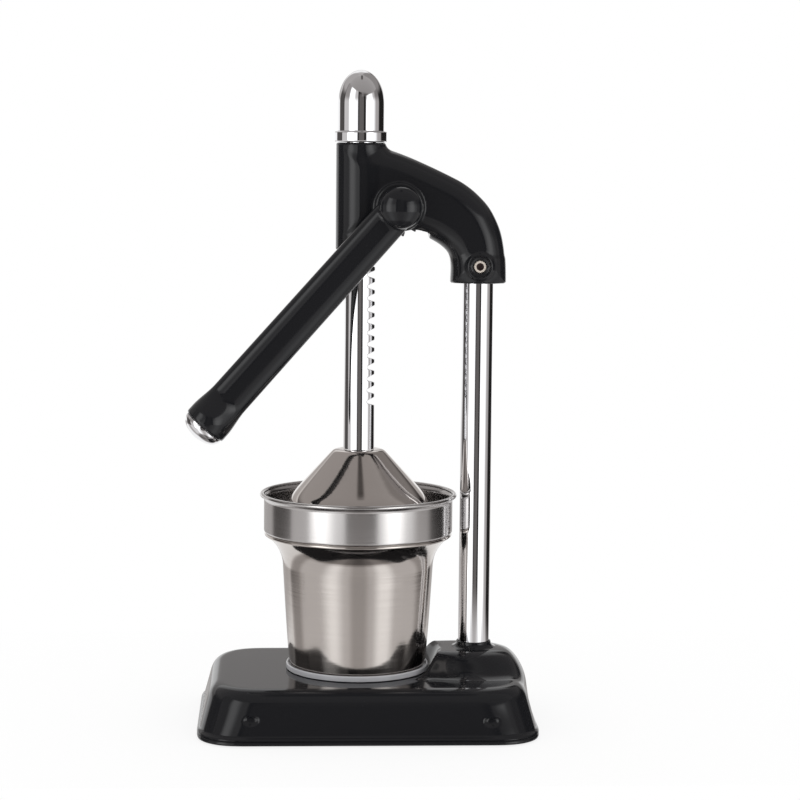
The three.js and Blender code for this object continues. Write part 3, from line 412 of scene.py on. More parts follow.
def base_surface():
    """Rings of the shell: the outline, rounder at its corners towards the top, drawn in square to itself and
    then towards a line in the middle, and lifted and swelled by the spine."""
    inset, level, share, inner_rows = base_profile()
    (low, normals), (high, high_normals) = base_outline(rim_corner), base_outline(top_corner)
    rounder = steps(-0.3, 1, (level - rim_z) / (shelf_z - rim_z))[:, None, None]
    normals = normals + (high_normals - normals) * rounder
    normals = normals / np.linalg.norm(normals, axis=-1, keepdims=True)
    ring = low + (high - low) * rounder + normals * inset[:, None, None]
    spread = base_half[0] - base_half[1]
    centre = np.stack([np.clip(ring[..., 0], base_middle[0] - spread, base_middle[0] + spread),
                       np.full(ring.shape[:2], base_middle[1])], -1)
    centre = centre + (base_middle - centre) * steps(0.98, 1, share)[:, None, None]
    ring = ring + (centre - ring) * share[:, None, None]
    x, y = ring[..., 0], ring[..., 1]
    z = np.broadcast_to(level[:, None], x.shape)
    sink = np.where(np.arange(len(level)) < inner_rows, base_wall, 0.0)[:, None]
    lift = np.clip((z + sink - rim_z) / (shelf_z - rim_z), 0, 1)
    arch = spine_arch(x, y)
    falling = np.clip((shelf_z - sink - z) / shoulder, 0, 1)
    standing = np.clip((z - rim_z - rim_height) / (shelf_z - shoulder - rim_z - rim_height), 0, 1)
    on_wall = spine_foot_share + (1 - spine_foot_share) * standing
    swell = steps(0, 1, falling) * np.where(falling < 1, 1.0, on_wall)
    x = x + spine_bulge * arch * swell * np.clip(-normals[..., 0], 0, 1) * (standing > 0)
    x = np.minimum(x, base_high[0])
    z = z + spine_rise * arch * lift
    front = (y < base_middle[1]) & (lift > 0.05) & (lift < 0.98) & (normals[..., 1] > 0.8)
    y = y + np.where(front, dimple(x, z), 0.0)
    return np.stack([x, y, z], -1)


shell_points = base_surface()
black_enamel = enamel("black_enamel", ripple=0.5, softness=0.07)
put("base_skin", shell_points.reshape(-1, 3), grid_faces(*shell_points.shape[:2]), black_enamel, "stand",
    "base_shell", slot="black_enamel")


# Collar: the base's metal drawn up round the column's foot, with a hollow fillet and a rounded lip. It is of
# one piece with the shell and enamelled with it.
def soften(profile, radii):
    """A profile of (radius, height) corners with each one rounded by an arc of its own radius, of
    20 parts to the half turn."""
    profile = np.array(profile, float)
    rounded = [profile[:1]]
    for before, corner, after, radius in zip(profile[:-2], profile[1:-1], profile[2:], radii[1:-1]):
        to_before, to_after = before - corner, after - corner
        length = np.linalg.norm(to_before), np.linalg.norm(to_after)
        to_before, to_after = to_before / length[0], to_after / length[1]
        bend = np.arccos(np.clip(to_before @ to_after, -1, 1))
        if radius <= 0 or bend > np.pi - 1e-3:
            rounded.append(corner[None])
            continue
        cut = min(radius / np.tan(bend / 2), 0.49 * length[0], 0.49 * length[1])
        radius = cut * np.tan(bend / 2)
        inward = (to_before + to_after) / np.linalg.norm(to_before + to_after)
        centre = corner + inward * radius / np.sin(bend / 2)
        first, last = corner + to_before * cut - centre, corner + to_after * cut - centre
        start = np.arctan2(first[1], first[0])
        sweep = (np.arctan2(last[1], last[0]) - start + np.pi) % (2 * np.pi) - np.pi
        rounded.append(arc(centre, radius, start, start + sweep, max(3, int(20 * abs(sweep) / np.pi) + 2)))
    rounded.append(profile[-1:])
    return np.concatenate(rounded)


def revolved(profile, sides, place=(0, 0, 0), axis="Z"):
    """Points and faces of a closed profile of (radius, height) carried round an axis: radius times the cosine
    and sine of the turn, with the height along the axis. The profile runs up on its outside."""
    angle = np.linspace(0, 2 * np.pi, sides, endpoint=False)
    radius, height = profile[:, :1], np.repeat(profile[:, 1:], sides, 1)
    grid = np.stack([radius * np.cos(angle), radius * np.sin(angle), height], -1)
    closed = profile[0, 0] > 1e-7
    points = grid.reshape(-1, 3)
    if axis == "-Y":
        points = points[:, [0, 2, 1]] * (1, -1, 1)
    faces = grid_faces(len(profile), sides, round_rows=closed)
    return points + np.array(place), faces


column_radius = (column_high - column_low)[0] / 2
collar_lip, collar_fillet, collar_gap = 0.8 * MM, 3.6 * MM, 0.3 * MM
collar_bore = column_radius + collar_gap
plateau_z = shelf_z + spine_rise
lip_z, sunk_z = plateau_z + collar_fillet, plateau_z - 1.0 * MM
toe = collar_bore + collar_lip + collar_fillet
skirt = toe + 0.5 * MM
collar_line = [[skirt, sunk_z], [skirt, plateau_z - 0.02 * MM],
               *arc((toe, lip_z), collar_fillet, -np.pi / 2, -np.pi, 14),
               [collar_bore + 0.62 * MM, lip_z + 0.1 * MM], [collar_bore + 0.3 * MM, lip_z + 0.2 * MM],
               [collar_bore, lip_z], [collar_bore, sunk_z]]
collar_points, collar_faces = revolved(np.array(collar_line), 128, (column_x, 0, 0))
from_column = np.hypot(collar_points[:, 0] - column_x, collar_points[:, 1])
follow = steps(collar_bore + collar_lip, toe, from_column)
collar_points[:, 2] += follow * spine_rise * (spine_arch(*collar_points[:, :2].T) - 1)
put("base_collar", collar_points, collar_faces, black_enamel, "stand")


# Ballast plate, rubber feet and their screws, under the base: zinc plated steel and matt black rubber. A bolt
# through the base, with its washer, holds the threaded plug in the column's foot.
def zinc_plate():
    """Zinc plated steel: crystals of the plating, clouded by handling."""
    new = Finish("zinc_plate", metallic=1.0)
    place = new.node("TexCoord", output=3)
    spangle = new.node("TexVoronoi", {"Vector": place, "Scale": 320.0}, 1)
    cloud = new.noise(60.0)
    return new.cover(cloud * 0.6 + spangle * 0.4, (0.36, 0.37, 0.39), (0.50, 0.51, 0.53), 0.32 + cloud * 0.22,
                     spangle, 0.08, 0.0002)


def rubber():
    """Moulded black rubber with a fine matt grain."""
    new = Finish("foot_rubber")
    grain = new.noise(1400.0, detail=2.0)
    return new.cover(grain, (0.012, 0.012, 0.012), (0.03, 0.03, 0.03), 0.68 + grain * 0.2,
                     grain, 0.25, 0.0001)


def dress(material, *names):
    """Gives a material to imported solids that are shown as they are."""
    for name in names:
        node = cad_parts[name]
        node.data.materials.clear()
        node.data.materials.append(material)


zinc = zinc_plate()
foot_numbers = range(1, 5)
dress(zinc, "base_plate", "column_plug", "column_washer", "column_bolt",
      *(f"foot_screw_{k}" for k in foot_numbers))
dress(rubber(), *(f"foot_{k}" for k in foot_numbers))


# Column: a chromed steel tube between the base's collar and the head's socket. The plating carries hairline
# rubbing marks along its length.
def chrome(name):
    """Bright nickel-chrome: a mirror with very fine scratches and a slight roll of the surface."""
    new = Finish(name, metallic=1.0)
    scratch = new.noise(1500.0, (1, 1, 0.02), 2.0)
    haze = new.noise(40.0, (1, 1, 0.5), 5.0)
    return new.cover(haze, (0.80, 0.80, 0.82), (0.86, 0.86, 0.87),
                     0.02 + haze * 0.035 + scratch.step(0.66, 0.8) * 0.08,
                     new.noise(16.0, (1, 1, 0.4), 1.0), 0.10, 0.0008)


bright_chrome = chrome("bright_chrome")
column_bore, column_edge = column_radius - 2.0 * MM, 0.4 * MM
column_line = soften([(column_bore, column_low[2]), (column_radius, column_low[2]),
                      (column_radius, column_high[2]), (column_bore, column_high[2]),
                      (column_bore, column_low[2])], [0, column_edge, column_edge, column_edge, 0])[:-1]
put("column_tube", *revolved(column_line, 128, (column_x, 0, 0)), bright_chrome, "stand", "column",
    slot="chrome")


# Cup ring: a light grey plastic ring pressed on the shelf, with a low rounded lip round the cup's foot. It
# keeps the cup under the ram.
def ring_plastic():
    """Moulded plastic, satin and a little uneven."""
    new = Finish("ring_plastic")
    cloud = new.noise(90.0, detail=4.0)
    return new.cover(cloud, (0.44, 0.44, 0.46), (0.56, 0.56, 0.58), 0.22 + cloud * 0.16,
                     new.noise(700.0, detail=2.0), 0.06, 0.0001)


ring_foot, ring_top, ring_start = ring_low[2], ring_high[2], ring_low[2] + 0.5 * MM
ring_floor, ring_lip, ring_bore = ring_foot + 1.2 * MM, ring_radius - 1.5 * MM, ring_radius - 9.0 * MM
ring_line = soften([(ring_bore, ring_start), (ring_bore, ring_foot), (ring_radius, ring_foot),
                    (ring_radius, ring_top), (ring_lip, ring_top), (ring_lip, ring_floor),
                    (ring_bore, ring_floor), (ring_bore, ring_start)],
                   np.array([0, 0.3, 0.4, 0.74, 0.74, 0.4, 0.3, 0]) * MM)[:-1]
put("ring_body", *revolved(ring_line, 160), ring_plastic(), "stand", "cup_ring", slot="grey_plastic")


# Head: one casting, enamelled like the base. A barrel guides the ram, an arm falls away in a curve to the
# column's socket, and round bosses carry the pinion's shaft and the clamp screw.
def segments_distance(x, z, line):
    """Signed distance from points to a closed outline: the nearest segment's, negative inside."""
    first, last = line, np.roll(line, -1, 0)
    run = last - first
    rel_x, rel_z = x[:, None] - first[:, 0], z[:, None] - first[:, 1]
    share = np.clip((rel_x * run[:, 0] + rel_z * run[:, 1]) / (run ** 2).sum(1), 0, 1)
    gap = np.hypot(rel_x - share * run[:, 0], rel_z - share * run[:, 1]).min(1)
    crosses = (first[:, 1] > z[:, None]) != (last[:, 1] > z[:, None])
    rise_of = np.where(np.abs(run[:, 1]) < 1e-12, 1e-12, run[:, 1])
    meet = first[:, 0] + (z[:, None] - first[:, 1]) / rise_of * run[:, 0]
    inside = (crosses & (x[:, None] < meet)).sum(1) % 2 == 1
    return np.where(inside, -gap, gap)


def rounded_box(a, b, radius):
    """Distance to where two half spaces a < 0 and b < 0 meet, with the edge rounded."""
    a, b = a + radius, b + radius
    return np.minimum(np.maximum(a, b), 0) + np.hypot(np.maximum(a, 0), np.maximum(b, 0)) - radius


def merge(a, b, fillet):
    """Smooth union of two distances, with a fillet: the lesser one, less a share where both are near."""
    near = np.maximum(fillet - np.abs(a - b), 0) / fillet
    return np.minimum(a, b) - near ** 2 * fillet / 4


def less(whole, *holes):
    """The distance to a form with its holes taken out."""
    return np.maximum.reduce([whole, *(-hole for hole in holes)])


head_low, head_high = np.array(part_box("head_casting"))
socket_z, barrel_top = head_low[2], head_high[2]
socket_radius, socket_half, arm_half_width, arm_edge = mm(16.3, 13.0, 15.4, 13.5)
socket_slimmer, socket_taper, taper_start = 0.9 * MM, 0.09, 3.0 * MM
barrel_radius, barrel_foot = 15.0 * MM, barrel_top - 65.0 * MM
head_reach, head_height = column_x + socket_radius, barrel_top - socket_z
arm_top = np.array([[-0.12, 0.94], [0.06, 0.955], [0.17, 0.955], [0.3, 0.913], [0.468, 0.839],
                    [0.636, 0.756], [0.721, 0.706], [0.806, 0.635], [0.891, 0.535], [0.957, 0.398],
                    [0.987, 0.273], [1, 0.143], [1, 0]])
arm_under = np.array([[-0.12, 0.347], [0.06, 0.347], [0.225, 0.347], [0.315, 0.347], [0.405, 0.342],
                      [0.474, 0.319], [0.529, 0.288], [0.569, 0.258], [0.602, 0.222], [0.622, 0.177],
                      [0.633, 0.107], [0.633, 0]])
arm_outline = np.concatenate([curve_through(arm_top, 70), curve_through(arm_under, 60)[::-1]])
arm_outline = arm_outline * (head_reach, head_height) + (0, socket_z)
pinion_low, pinion_high = np.array(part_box("pinion"))
pinion_x, pinion_z = (pinion_low[0] + pinion_high[0]) / 2, (pinion_low[2] + pinion_high[2]) / 2
boss_y, boss_radius = head_high[1], 14.8 * MM
screw_low, screw_high = np.array(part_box("column_screw"))
screw_z = (screw_low[2] + screw_high[2]) / 2
screw_boss_radius, screw_boss_y, sink_radius, sink_y = mm(8.0, 17.0, 6.2, 15.5)
ram_bore, column_depth, pocket_radius, pocket_half = mm(9.8, 30.0, 19.2, 9.2)
shaft_hole, screw_hole = 7.3 * MM, 4.0 * MM
arm_fillet, boss_fillet, screw_fillet = mm(5.0, 1.6, 2.0)

map_step = 0.5 * MM
map_x = np.arange(-20.0 * MM, 100.0 * MM, map_step)
map_z = np.arange(socket_z - 10 * MM, barrel_top + 10 * MM, map_step)
map_points = np.stack(np.meshgrid(map_x, map_z, indexing="ij"), -1).reshape(-1, 2)
arm_map = np.concatenate([segments_distance(part[:, 0], part[:, 1], arm_outline)
                          for part in np.array_split(map_points, 16)]).reshape(len(map_x), len(map_z))


def arm_distance(x, z):
    """The distance to the arm's outline, read between the points of its map."""
    across = np.clip((x - map_x[0]) / map_step, 0, len(map_x) - 1.001)
    up = np.clip((z - map_z[0]) / map_step, 0, len(map_z) - 1.001)
    i, k = across.astype(int), up.astype(int)
    s, t = across - i, up - k
    return ((arm_map[i, k] * (1 - s) + arm_map[i + 1, k] * s) * (1 - t)
            + (arm_map[i, k + 1] * (1 - s) + arm_map[i + 1, k + 1] * s) * t)


def head_form(p):
    """Distance to the casting: barrel, arm, socket and bosses merged with fillets, less its bores."""
    x, y, z = p.T
    from_ram, from_column = np.hypot(x, y), np.hypot(x - column_x, y)
    from_hub, from_screw = np.hypot(x - pinion_x, z - pinion_z), np.hypot(x - column_x, z - screw_z)
    arm = rounded_box(arm_distance(x, z), np.abs(y) - arm_half_width, arm_edge)
    barrel = rounded_box(from_ram - barrel_radius, np.abs(z - (barrel_top + barrel_foot) / 2)
                         - (barrel_top - barrel_foot) / 2, 1.0 * MM)
    slimmer = socket_slimmer + socket_taper * np.maximum(z - socket_z - taper_start, 0)
    socket = rounded_box(from_column - socket_radius + slimmer,
                         np.abs(z - socket_z - socket_half) - socket_half, 0.8 * MM)
    socket = np.maximum(socket, z - socket_z - socket_half)
    boss = rounded_box(from_hub - boss_radius, np.abs(y) - boss_y, 1.1 * MM)
    screw_boss = rounded_box(from_screw - screw_boss_radius, np.maximum(-y - screw_boss_y, y), 1.0 * MM)
    whole = merge(merge(arm, socket, arm_fillet), barrel, arm_fillet)
    whole = merge(merge(whole, boss, boss_fillet), screw_boss, screw_fillet)
    whole = np.maximum(whole, socket_z - z)
    under_hub = np.maximum(np.abs(x - pinion_x) - pocket_radius, z - pinion_z)
    return less(whole, np.maximum(from_screw - sink_radius, y + sink_y), from_ram - ram_bore,
                np.maximum(from_column - collar_bore, z - socket_z - column_depth),
                np.maximum(np.minimum(from_hub - pocket_radius, under_hub), np.abs(y) - pocket_half),
                from_hub - shaft_hole, np.maximum(from_screw - screw_hole, y))


def fitted(low, high, cell, form):
    """A closed skin fitted to a distance formula: cubes of one cell that hold some of the form are merged
    into one block surface, which is smoothed in rounds while its points move down the formula's slope."""
    axes = [np.arange(a - 2 * cell, b + 3 * cell, cell) for a, b in zip(low, high)]
    shape = [len(a) for a in axes]
    lattice = np.stack(np.meshgrid(*axes, indexing="ij"), -1).reshape(-1, 3)
    filled = np.concatenate([form(part) < 0 for part in np.array_split(lattice, 40)]).reshape(shape)
    index = np.arange(filled.size).reshape(shape)
    faces, stride = [], (shape[1] * shape[2], shape[2], 1)
    for axis in range(3):
        other = [k for k in range(3) if k != axis]
        if axis == 1:
            other = other[::-1]
        lower = np.take(filled, range(shape[axis] - 1), axis)
        upper = np.take(filled, range(1, shape[axis]), axis)
        base = np.take(index, range(1, shape[axis]), axis)
        for mask, order in ((lower & ~upper, (0, 1, 2, 3)), (~lower & upper, (0, 3, 2, 1))):
            start = base[mask]
            u, v = stride[other[0]], stride[other[1]]
            quad = np.stack([start, start + u, start + u + v, start + v], 1)
            faces.append(quad[:, order])
    used, faces = np.unique(np.concatenate(faces), return_inverse=True)
    faces = faces.reshape(-1, 4)
    points = lattice[used] - cell / 2
    for _ in range(8):
        total, count = np.zeros_like(points), np.zeros(len(points))
        for a, b in ((0, 1), (1, 2), (2, 3), (3, 0)):
            np.add.at(total, faces[:, a], points[faces[:, b]])
            np.add.at(total, faces[:, b], points[faces[:, a]])
            np.add.at(count, faces[:, a], 1)
            np.add.at(count, faces[:, b], 1)
        points = 0.3 * points + 0.7 * total / count[:, None]
        for _ in range(2):
            points = onto(points, form, cell)
    for _ in range(6):
        points = onto(points, form, cell)
    return points, faces


def onto(points, form, cell):
    """Moves points along the formula's slope by their distance: Newton's step, at most half a cell."""
    nudge = 0.02 * MM
    here = form(points)
    slope = np.stack([(form(points + nudge * way) - form(points - nudge * way)) / (2 * nudge)
                      for way in np.eye(3)], 1)
    length = np.maximum((slope ** 2).sum(1), 0.3)
    move = -slope * (here / length)[:, None]
    size = np.linalg.norm(move, axis=1, keepdims=True)
    return points + move * np.minimum(1, 0.5 * cell / np.maximum(size, 1e-12))


head_cell = 1.1 * MM
head_enamel = enamel("head_enamel", ripple=0.35, softness=0.1)
put("head_skin", *fitted(head_low, head_high, head_cell, head_form), head_enamel, "stand", "head_casting",
    slot="black_enamel", sharp=50.0)


# Clamp screw: a plated steel screw with a hexagon hole, sunk in the front of the column's socket. The hole is
# painted dark as painted shade inside the recess. It clamps the head to the column.
def off_axis(flow, x, z):
    """The distance of a surface point from the level line along y through (x, z)."""
    spot = flow.node("TexCoord", output=3)
    place = [flow.node("SeparateXYZ", {0: spot}, k) for k in (0, 2)]
    right, up = place[0] - x, place[1] - z
    squared = right * right + up * up
    return squared.maths("SQRT", squared)


def screw_with_socket(radius, back, front, across_flats, deep):
    """Points and faces of a round screw with a hexagon hole: rings from the back to the rim, over the face to
    a ring whose radius follows a hexagon, and down to the hole's pointed floor."""
    sides = 96
    bevel, hole_bevel, floor_point = mm(0.35, 0.25, 0.4)
    angle = np.linspace(0, 2 * np.pi, sides, endpoint=False)
    hexagon = across_flats / 2 / np.cos((angle + np.pi / 6) % (np.pi / 3) - np.pi / 6)
    rings = [(0, back), (radius, back), (radius, front - bevel), (radius - bevel, front),
             (hexagon + hole_bevel, front), (hexagon, front - hole_bevel), (hexagon, front - deep),
             (0, front - deep - floor_point)]
    grid = np.stack([np.stack([r * np.cos(angle), 0 * angle - y, r * np.sin(angle)], 1) for r, y in rings])
    return grid.reshape(-1, 3) + (column_x, 0, screw_z), grid_faces(len(rings), sides)


screw_radius, across_flats, hexagon_depth = (screw_high - screw_low)[0] / 2, 3.9 * MM, 3.0 * MM
screw_steel = Finish("screw_steel", metallic=0.35)
from_axis = screw_steel.noise(90.0) * 0.3 * MM + off_axis(screw_steel, column_x, screw_z)
# Painted shade: within about 2.3 mm of the screw's axis, in the hexagon hole and on its walls, the colour is
# dark brown-black for the shade in the recess. The face beyond is pale.
outside_painted_hole_shade = from_axis.step(2.3 * MM, 2.6 * MM)
clamp_screw = screw_with_socket(screw_radius, -screw_high[1], -screw_low[1], across_flats, hexagon_depth)
put("clamp_screw", *clamp_screw, screw_steel.cover(outside_painted_hole_shade, (0.06, 0.032, 0.028), (0.88, 0.79, 0.70), 0.3),
    "stand", "column_screw", slot="chrome")


# Shaft, bushes, pinion, key and ring: oiled steel and bronze, mostly hidden in the head. The bushes sit in
# the bosses, and the ring holds the shaft at the back.
def toned(colour, share):
    """The colour made lighter or darker."""
    return tuple(min(1.0, share * part) for part in colour)


def machined(name, colour, roughness):
    """Turned and milled metal: a cloudy film of oil over fine tool marks."""
    new = Finish(name, metallic=1.0)
    cloud = new.noise(120.0, detail=4.0)
    return new.cover(cloud, toned(colour, 0.72), colour, roughness - 0.1 + cloud * 0.2,
                     new.noise(900.0, (1, 0.05, 1), 2.0), 0.1, 0.0001)


dress(machined("oiled_steel", (0.30, 0.30, 0.31), 0.36), "pinion", "pinion_shaft", "pinion_key")
dress(machined("bush_bronze", (0.46, 0.29, 0.12), 0.38), "front_bush", "rear_bush")
dress(zinc, "shaft_ring", "hub_screw", "bell_washer", "bell_screw")


# Lever: cast with a round hub at one end and a flare at the other, enamelled black. A black domed cap closes
# the hub over its screw, and a chromed button is pressed in the flared end.
droop = np.radians(48.5)
lever_way = np.array([-np.cos(droop), 0, -np.sin(droop)])
lever_side = np.array([-np.sin(droop), 0, np.cos(droop)])
neck_half, lever_half, lever_thick, end_radius = mm(11.4, 12.1, 7.2, 13.9)
lever_length, flare_length, hub_radius, hub_thick = mm(176.5, 23.0, 12.6, 15.0)
recess_radius, recess_depth, bore_radius, bore_depth = mm(9.3, 3.6, 8.0, 13.0)
square_half, square_front, hub_fillet, seat_gap = mm(3.8, 4.0, 1.2, 0.3)
neck_power, end_power = 2.3, 2.0
hub_back = -(boss_y + seat_gap)
hub_front = hub_back - hub_thick
lever_y = (hub_back + hub_front) / 2
hub_place = np.array([pinion_x, 0, pinion_z])


def lever_form(p):
    """Distance to the lever, roughly: an oval bar that swells to a round end, merged with its hub, less the
    recess under the hub's cap, the bore for the end's button and the square hole for the shaft."""
    rel = p - hub_place
    along, side, y = rel @ lever_way, rel @ lever_side, rel[:, 1] - lever_y
    swell = steps(0, 0.8, (along - lever_length + flare_length) / flare_length)
    bar_half = neck_half + (lever_half - neck_half) * np.clip(along / (lever_length - flare_length), 0, 1)
    half_width = bar_half + (end_radius - bar_half) * swell
    half_thick = lever_thick + (end_radius - lever_thick) * swell
    power = neck_power + (end_power - neck_power) * swell
    radial = (np.abs(side / half_width) ** power + np.abs(y / half_thick) ** power + 1e-12) ** (1 / power)
    slope = np.hypot(side / half_width, y / half_thick) / np.maximum(
        np.hypot(side / half_width ** 2, y / half_thick ** 2), 1e-9)
    bar = (radial - 1) * np.clip(slope, half_thick, half_width)
    bar = rounded_box(bar, np.maximum(along - lever_length, -along), 0.8 * MM)
    from_hub = np.hypot(along, side)
    hub = rounded_box(from_hub - hub_radius, np.abs(y) - hub_thick / 2, 0.9 * MM)
    whole = merge(bar, hub, hub_fillet)
    return less(whole, np.maximum(from_hub - recess_radius, y - (hub_front - lever_y) - recess_depth),
                np.maximum(np.hypot(side, y) - bore_radius, lever_length - bore_depth - along),
                np.maximum(np.maximum(np.abs(along), np.abs(side)) - square_half, -y - square_front))


lever_cell = 1.0 * MM
put("lever_skin", *fitted(*np.array(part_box("lever_arm")), lever_cell, lever_form), head_enamel, "lever",
    "lever_arm", slot="black_enamel", sharp=50.0)


def domed(stem, seat, radius, edge, height):
    """The line of a domed cap: its stem, a bevel at its seat, an upright edge and a quarter of an oval."""
    bevel = 0.3 * MM
    dome = arc((0, seat + edge), (radius, height - edge), 0, np.pi / 2, 22)
    line = np.concatenate([stem, [[radius - bevel, seat], [radius, seat + bevel]], dome])
    line[-1, 0] = 0
    return line


cap_foot = -(hub_front - seat_gap)
dome_height, dome_edge, spigot, spigot_bore, spigot_depth, cap_hollow = mm(8.6, 0.8, 9.0, 7.5, 2.6, 1.2)
hub_stem = [[0, cap_foot + cap_hollow], [spigot_bore, cap_foot + cap_hollow],
            [spigot_bore, cap_foot - spigot_depth], [spigot, cap_foot - spigot_depth], [spigot, cap_foot]]
hub_cap_line = domed(hub_stem, cap_foot, hub_radius, dome_edge, dome_height)
put("hub_dome", *revolved(hub_cap_line, 96, hub_place, "-Y"), black_enamel, "lever", "hub_cap",
    slot="black_enamel")

button_radius, button_height, button_edge, button_spigot = mm(13.0, 8.32, 1.0, 7.7)
button_seat, button_foot = lever_length + seat_gap, lever_length - 11.0 * MM
button_stem = [[0, button_foot], [button_spigot, button_foot], [button_spigot, button_seat]]
button_line = domed(button_stem, button_seat, button_radius, button_edge, button_height)
button_points, button_faces = revolved(button_line, 96)
button_turned = (button_points[:, :1] * lever_side + button_points[:, 1:2] * np.array([0, 1, 0])
                 + button_points[:, 2:] * lever_way)
put("end_button", button_turned + hub_place + (0, lever_y, 0), button_faces[:, ::-1], bright_chrome, "lever",
    "lever_end_cap", slot="chrome")


# Ram: a chromed rod with rack teeth milled across its column side, a bullet-shaped cap on top and a spun
# steel bell below, which a screw holds from inside.
rod_low, rod_high = np.array(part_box("rack_rod"))
rod_radius, rod_bevel = 9.5 * MM, 0.8 * MM
gear_module, gear_angle, rack_gaps = 2.25 * MM, np.radians(20.0), 20
pitch = np.pi * gear_module
gap_depth = gear_module * 2.24
first_gap = pinion_z - 119.1 * MM


def rod_surface():
    """Circles up the rod, each cut off at the level of the rack's face there: the crest, the sloping flanks
    in small steps, and the floor of each gap."""
    sides = 96
    line, floor = rod_radius - gear_module, rod_radius - gap_depth
    levels = [(rod_low[2], rod_radius)]
    for k in range(rack_gaps):
        middle = first_gap + k * pitch
        face = np.linspace(rod_radius, floor, 6)
        half = pitch / 4 + (face - line) * np.tan(gear_angle)
        levels += [(middle - h, c) for h, c in zip(half, face)]
        levels += [(middle + h, c) for h, c in zip(half[::-1], face[::-1])]
    levels.append((rod_high[2] - rod_bevel, rod_radius))
    angle = np.linspace(0, 2 * np.pi, sides, endpoint=False)
    z, face = (np.array(v)[:, None] for v in zip(*levels))
    x = np.minimum(rod_radius * np.cos(angle)[None], face)
    y = np.broadcast_to(rod_radius * np.sin(angle), x.shape)
    body = np.stack([x, y, np.broadcast_to(z, x.shape)], -1)
    ends = [np.stack([radius * np.cos(angle), radius * np.sin(angle), 0 * angle + level], 1)
            for radius, level in ((0, rod_low[2]), (rod_radius - rod_bevel, rod_high[2]), (0, rod_high[2]))]
    return np.concatenate([ends[:1], body, ends[1:]])


rod_points = rod_surface()
ram_chrome = chrome("ram_chrome")
put("ram_rod", rod_points.reshape(-1, 3), grid_faces(*rod_points.shape[:2]), ram_chrome, "ram", "rack_rod",
    slot="chrome", sharp=24.0)

cap_low, cap_high = np.array(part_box("rod_cap"))
flange_radius, body_radius, dome_rise, cap_bore = mm(16.1, 14.3, 20.6, 9.8)
flange_top, cap_ceiling = cap_low[2] + 6.5 * MM, rod_high[2] + seat_gap
bullet = arc((0, cap_high[2] - dome_rise), (body_radius, dome_rise), 0, np.pi / 2, 40)
flange = soften([(cap_bore, cap_low[2]), (flange_radius, cap_low[2]), (flange_radius, flange_top),
                 (body_radius, flange_top), bullet[0]], np.array([0, 1.1, 1.1, 0.5, 0]) * MM)
cap_line = np.concatenate([[[0, cap_ceiling], [cap_bore, cap_ceiling]], flange[:-1], bullet])
cap_line[-1, 0] = 0
put("ram_cap", *revolved(cap_line, 144), ram_chrome, "ram", "rod_cap", slot="chrome")


def polished(name, roughness):
    """Spun stainless steel, polished: faint turning lines round the axis and a lazily rolling surface."""
    new = Finish(name, metallic=1.0)
    lines = new.noise(420.0, (0.02, 0.02, 1), 4.0)
    roll = new.noise(26.0, (1, 1, 0.6), 1.0)
    colour = (0.58, 0.54, 0.515)
    return new.cover(new.noise(40.0, detail=4.0), colour, toned(colour, 1.12),
                     roughness - 0.03 + lines * 0.08, roll * 0.8 + lines * 0.2, 0.1, 0.0012)


def rounded_limit(value, limit, roundness):
    """The value where it is well below the limit and the limit where it is well above, with a smooth bend."""
    return value - roundness * np.log1p(np.exp((value - limit) / roundness))


def directions(line):
    """Unit directions along a line of (radius, height) and square to it, on its left."""
    along = np.gradient(line, axis=0)
    along /= np.linalg.norm(along, axis=1, keepdims=True)
    return along, np.stack([-along[:, 1], along[:, 0]], 1)


def shelled(outside, wall, lip):
    """Closes a line of (radius, height) into a thin wall: a copy shifted square to the line, inwards, and
    rounded ends between the two, which stand out by the share lip of a half circle."""
    along, inward = directions(outside)
    turn_over = np.linspace(0, np.pi, 9)[1:-1, None]

    def tip(k, way):
        middle = outside[k] + inward[k] * wall / 2
        return (middle - inward[k] * wall / 2 * np.cos(turn_over)
                + way * along[k] * wall / 2 * lip * np.sin(turn_over))
    return np.concatenate([outside, tip(-1, 1), (outside + inward * wall)[::-1], tip(0, -1)[::-1]])


bell_low, bell_high = np.array(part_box("press_bell"))
bell_radius, bell_height, bell_wall, bell_hole = bell_high[1], (bell_high - bell_low)[2], 1.8 * MM, 4.3 * MM
bell_slope, bell_knee, foot_round, top_round = 0.86, 0.244, 0.05, 0.02
climb = np.linspace(0, 1.13, 96)
bell_shares = np.stack([1 - bell_slope * (climb - rounded_limit(climb, bell_knee, foot_round / bell_slope)),
                        rounded_limit(climb, 1.0, top_round)], 1)
bell_outside = bell_shares * (bell_radius, bell_height) + (0, bell_low[2])
bell_line = shelled(np.concatenate([bell_outside, [[bell_hole, bell_high[2]]]]), bell_wall, 0.3)
put("bell_skin", *revolved(bell_line, 160), polished("spun_steel", 0.07), "ram", "press_bell",
    slot="polished_steel")


# Cup and strainer bowl: drawn from stainless sheet with rolled rims. The outsides are brushed round the axis,
# so that they smear the light up and down. The cup's base is kicked up in the middle.
def brushed(name, colour, roughness, smear, marks):
    """Satin stainless: scratches round the axis, as noise squeezed into thin level lines. The marks' strength
    sets how far the scratches show, and the smear how far they spread the light."""
    new = Finish(name, metallic=1.0)
    fine = new.noise(900.0, (0.015, 0.015, 1))
    broad = new.noise(140.0, (0.03, 0.03, 1))
    cloud = new.noise(30.0, detail=4.0)
    new.inputs["Anisotropic"].default_value = smear
    new.inputs["Anisotropic Rotation"].default_value = 0.25
    return new.cover(cloud * 0.5 + fine * 0.5, colour, toned(colour, 1 + 0.16 * marks),
                     roughness - 0.05 * marks + fine * 0.12 * marks,
                     fine * 0.7 + broad * 0.3, 0.14 * marks, 0.0002)


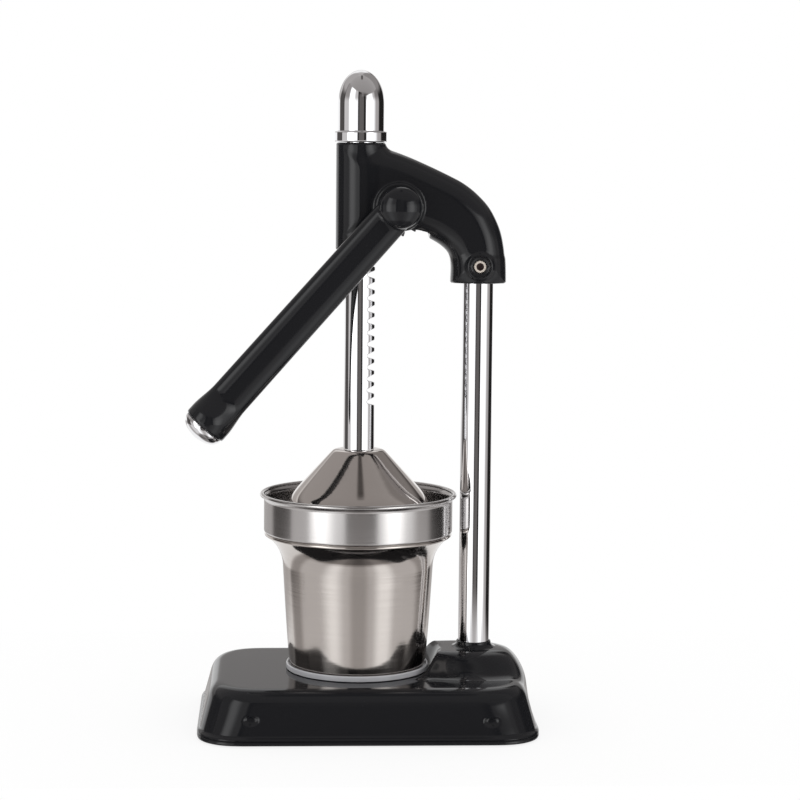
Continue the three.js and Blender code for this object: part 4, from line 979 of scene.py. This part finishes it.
def rolled(line, wall, roll):
    """A sheet's line closed into a wall that ends in a rolled bead: a circle round the line's end."""
    along, inward = directions(line)
    inside = line + inward * wall
    inside[0, 0] = max(inside[0, 0], 0.0) if line[0, 0] > 0 else 0.0
    start = np.arctan2(along[-1, 1], along[-1, 0])
    opening = np.pi - np.arcsin(wall / 2 / roll)
    bead = arc(line[-1] + inward[-1] * wall / 2, roll, start - opening, start + opening, 22)
    return np.concatenate([line[:-1], bead, inside[-2::-1]])


sheet_wall, bead_roll, cup_foot, cup_body, cup_mouth = mm(1.2, 1.3, 42.2, 46.4, 57.6)
cup_height, flare_height, foot_corner, flare_start = mm(83.5, 21.0, 3.2, 1.1)
kick, kick_inner, kick_outer = mm(1.6, 30.0, 32.0)
body_top = cup_height - flare_height
flare_end = cup_mouth - bead_roll + sheet_wall / 2
body_share, flare_share = np.linspace(0, 1, 24)[1:], np.linspace(0, 1, 30)[1:]
cup_outside = np.concatenate([
    [[0, kick], [kick_inner, kick], [kick_outer, 0]],
    arc((cup_foot - foot_corner, foot_corner), foot_corner, -np.pi / 2, 0, 8),
    np.stack([cup_foot + (cup_body - cup_foot) * body_share ** 0.8,
              foot_corner + (body_top - foot_corner) * body_share], 1),
    np.stack([cup_body + flare_start * flare_share
              + (flare_end - cup_body - flare_start) * flare_share ** 2.4,
              body_top + (flare_height - bead_roll) * flare_share], 1)]) + (0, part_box("juice_cup")[0].z)
put("cup_skin", *revolved(rolled(cup_outside, sheet_wall, bead_roll), 192),
    brushed("satin_steel", (0.50, 0.465, 0.44), 0.1, 0.3, 1.0), "cup", "juice_cup", slot="brushed_steel")

band_radius, band_height, bowl_mouth, bowl_flare, bowl_sink = mm(58.2, 20.6, 60.6, 3.6, 12.0)
bowl_step = np.array([(33.5, -12), (43.8, -12), (46, -7), (52.7, 0)]) * MM
bowl_band = [(band_radius, 0), (band_radius, band_height),
             (bowl_mouth - bead_roll + sheet_wall / 2, band_height + bowl_flare - bead_roll)]
bowl_outside = soften(np.concatenate([bowl_step, bowl_band]) + (0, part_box("strainer_bowl")[0].z + bowl_sink),
                      np.array([0, 2.0, 2.0, 1.5, 1.4, 3.0, 0]) * MM)
put("bowl_skin", *revolved(rolled(bowl_outside, sheet_wall, bead_roll), 192),
    brushed("band_steel", (0.53, 0.515, 0.51), 0.18, 0.0, 0.35), "strainer", "strainer_bowl",
    slot="brushed_steel")
dress(polished("cone_steel", 0.16), "reamer_cone")
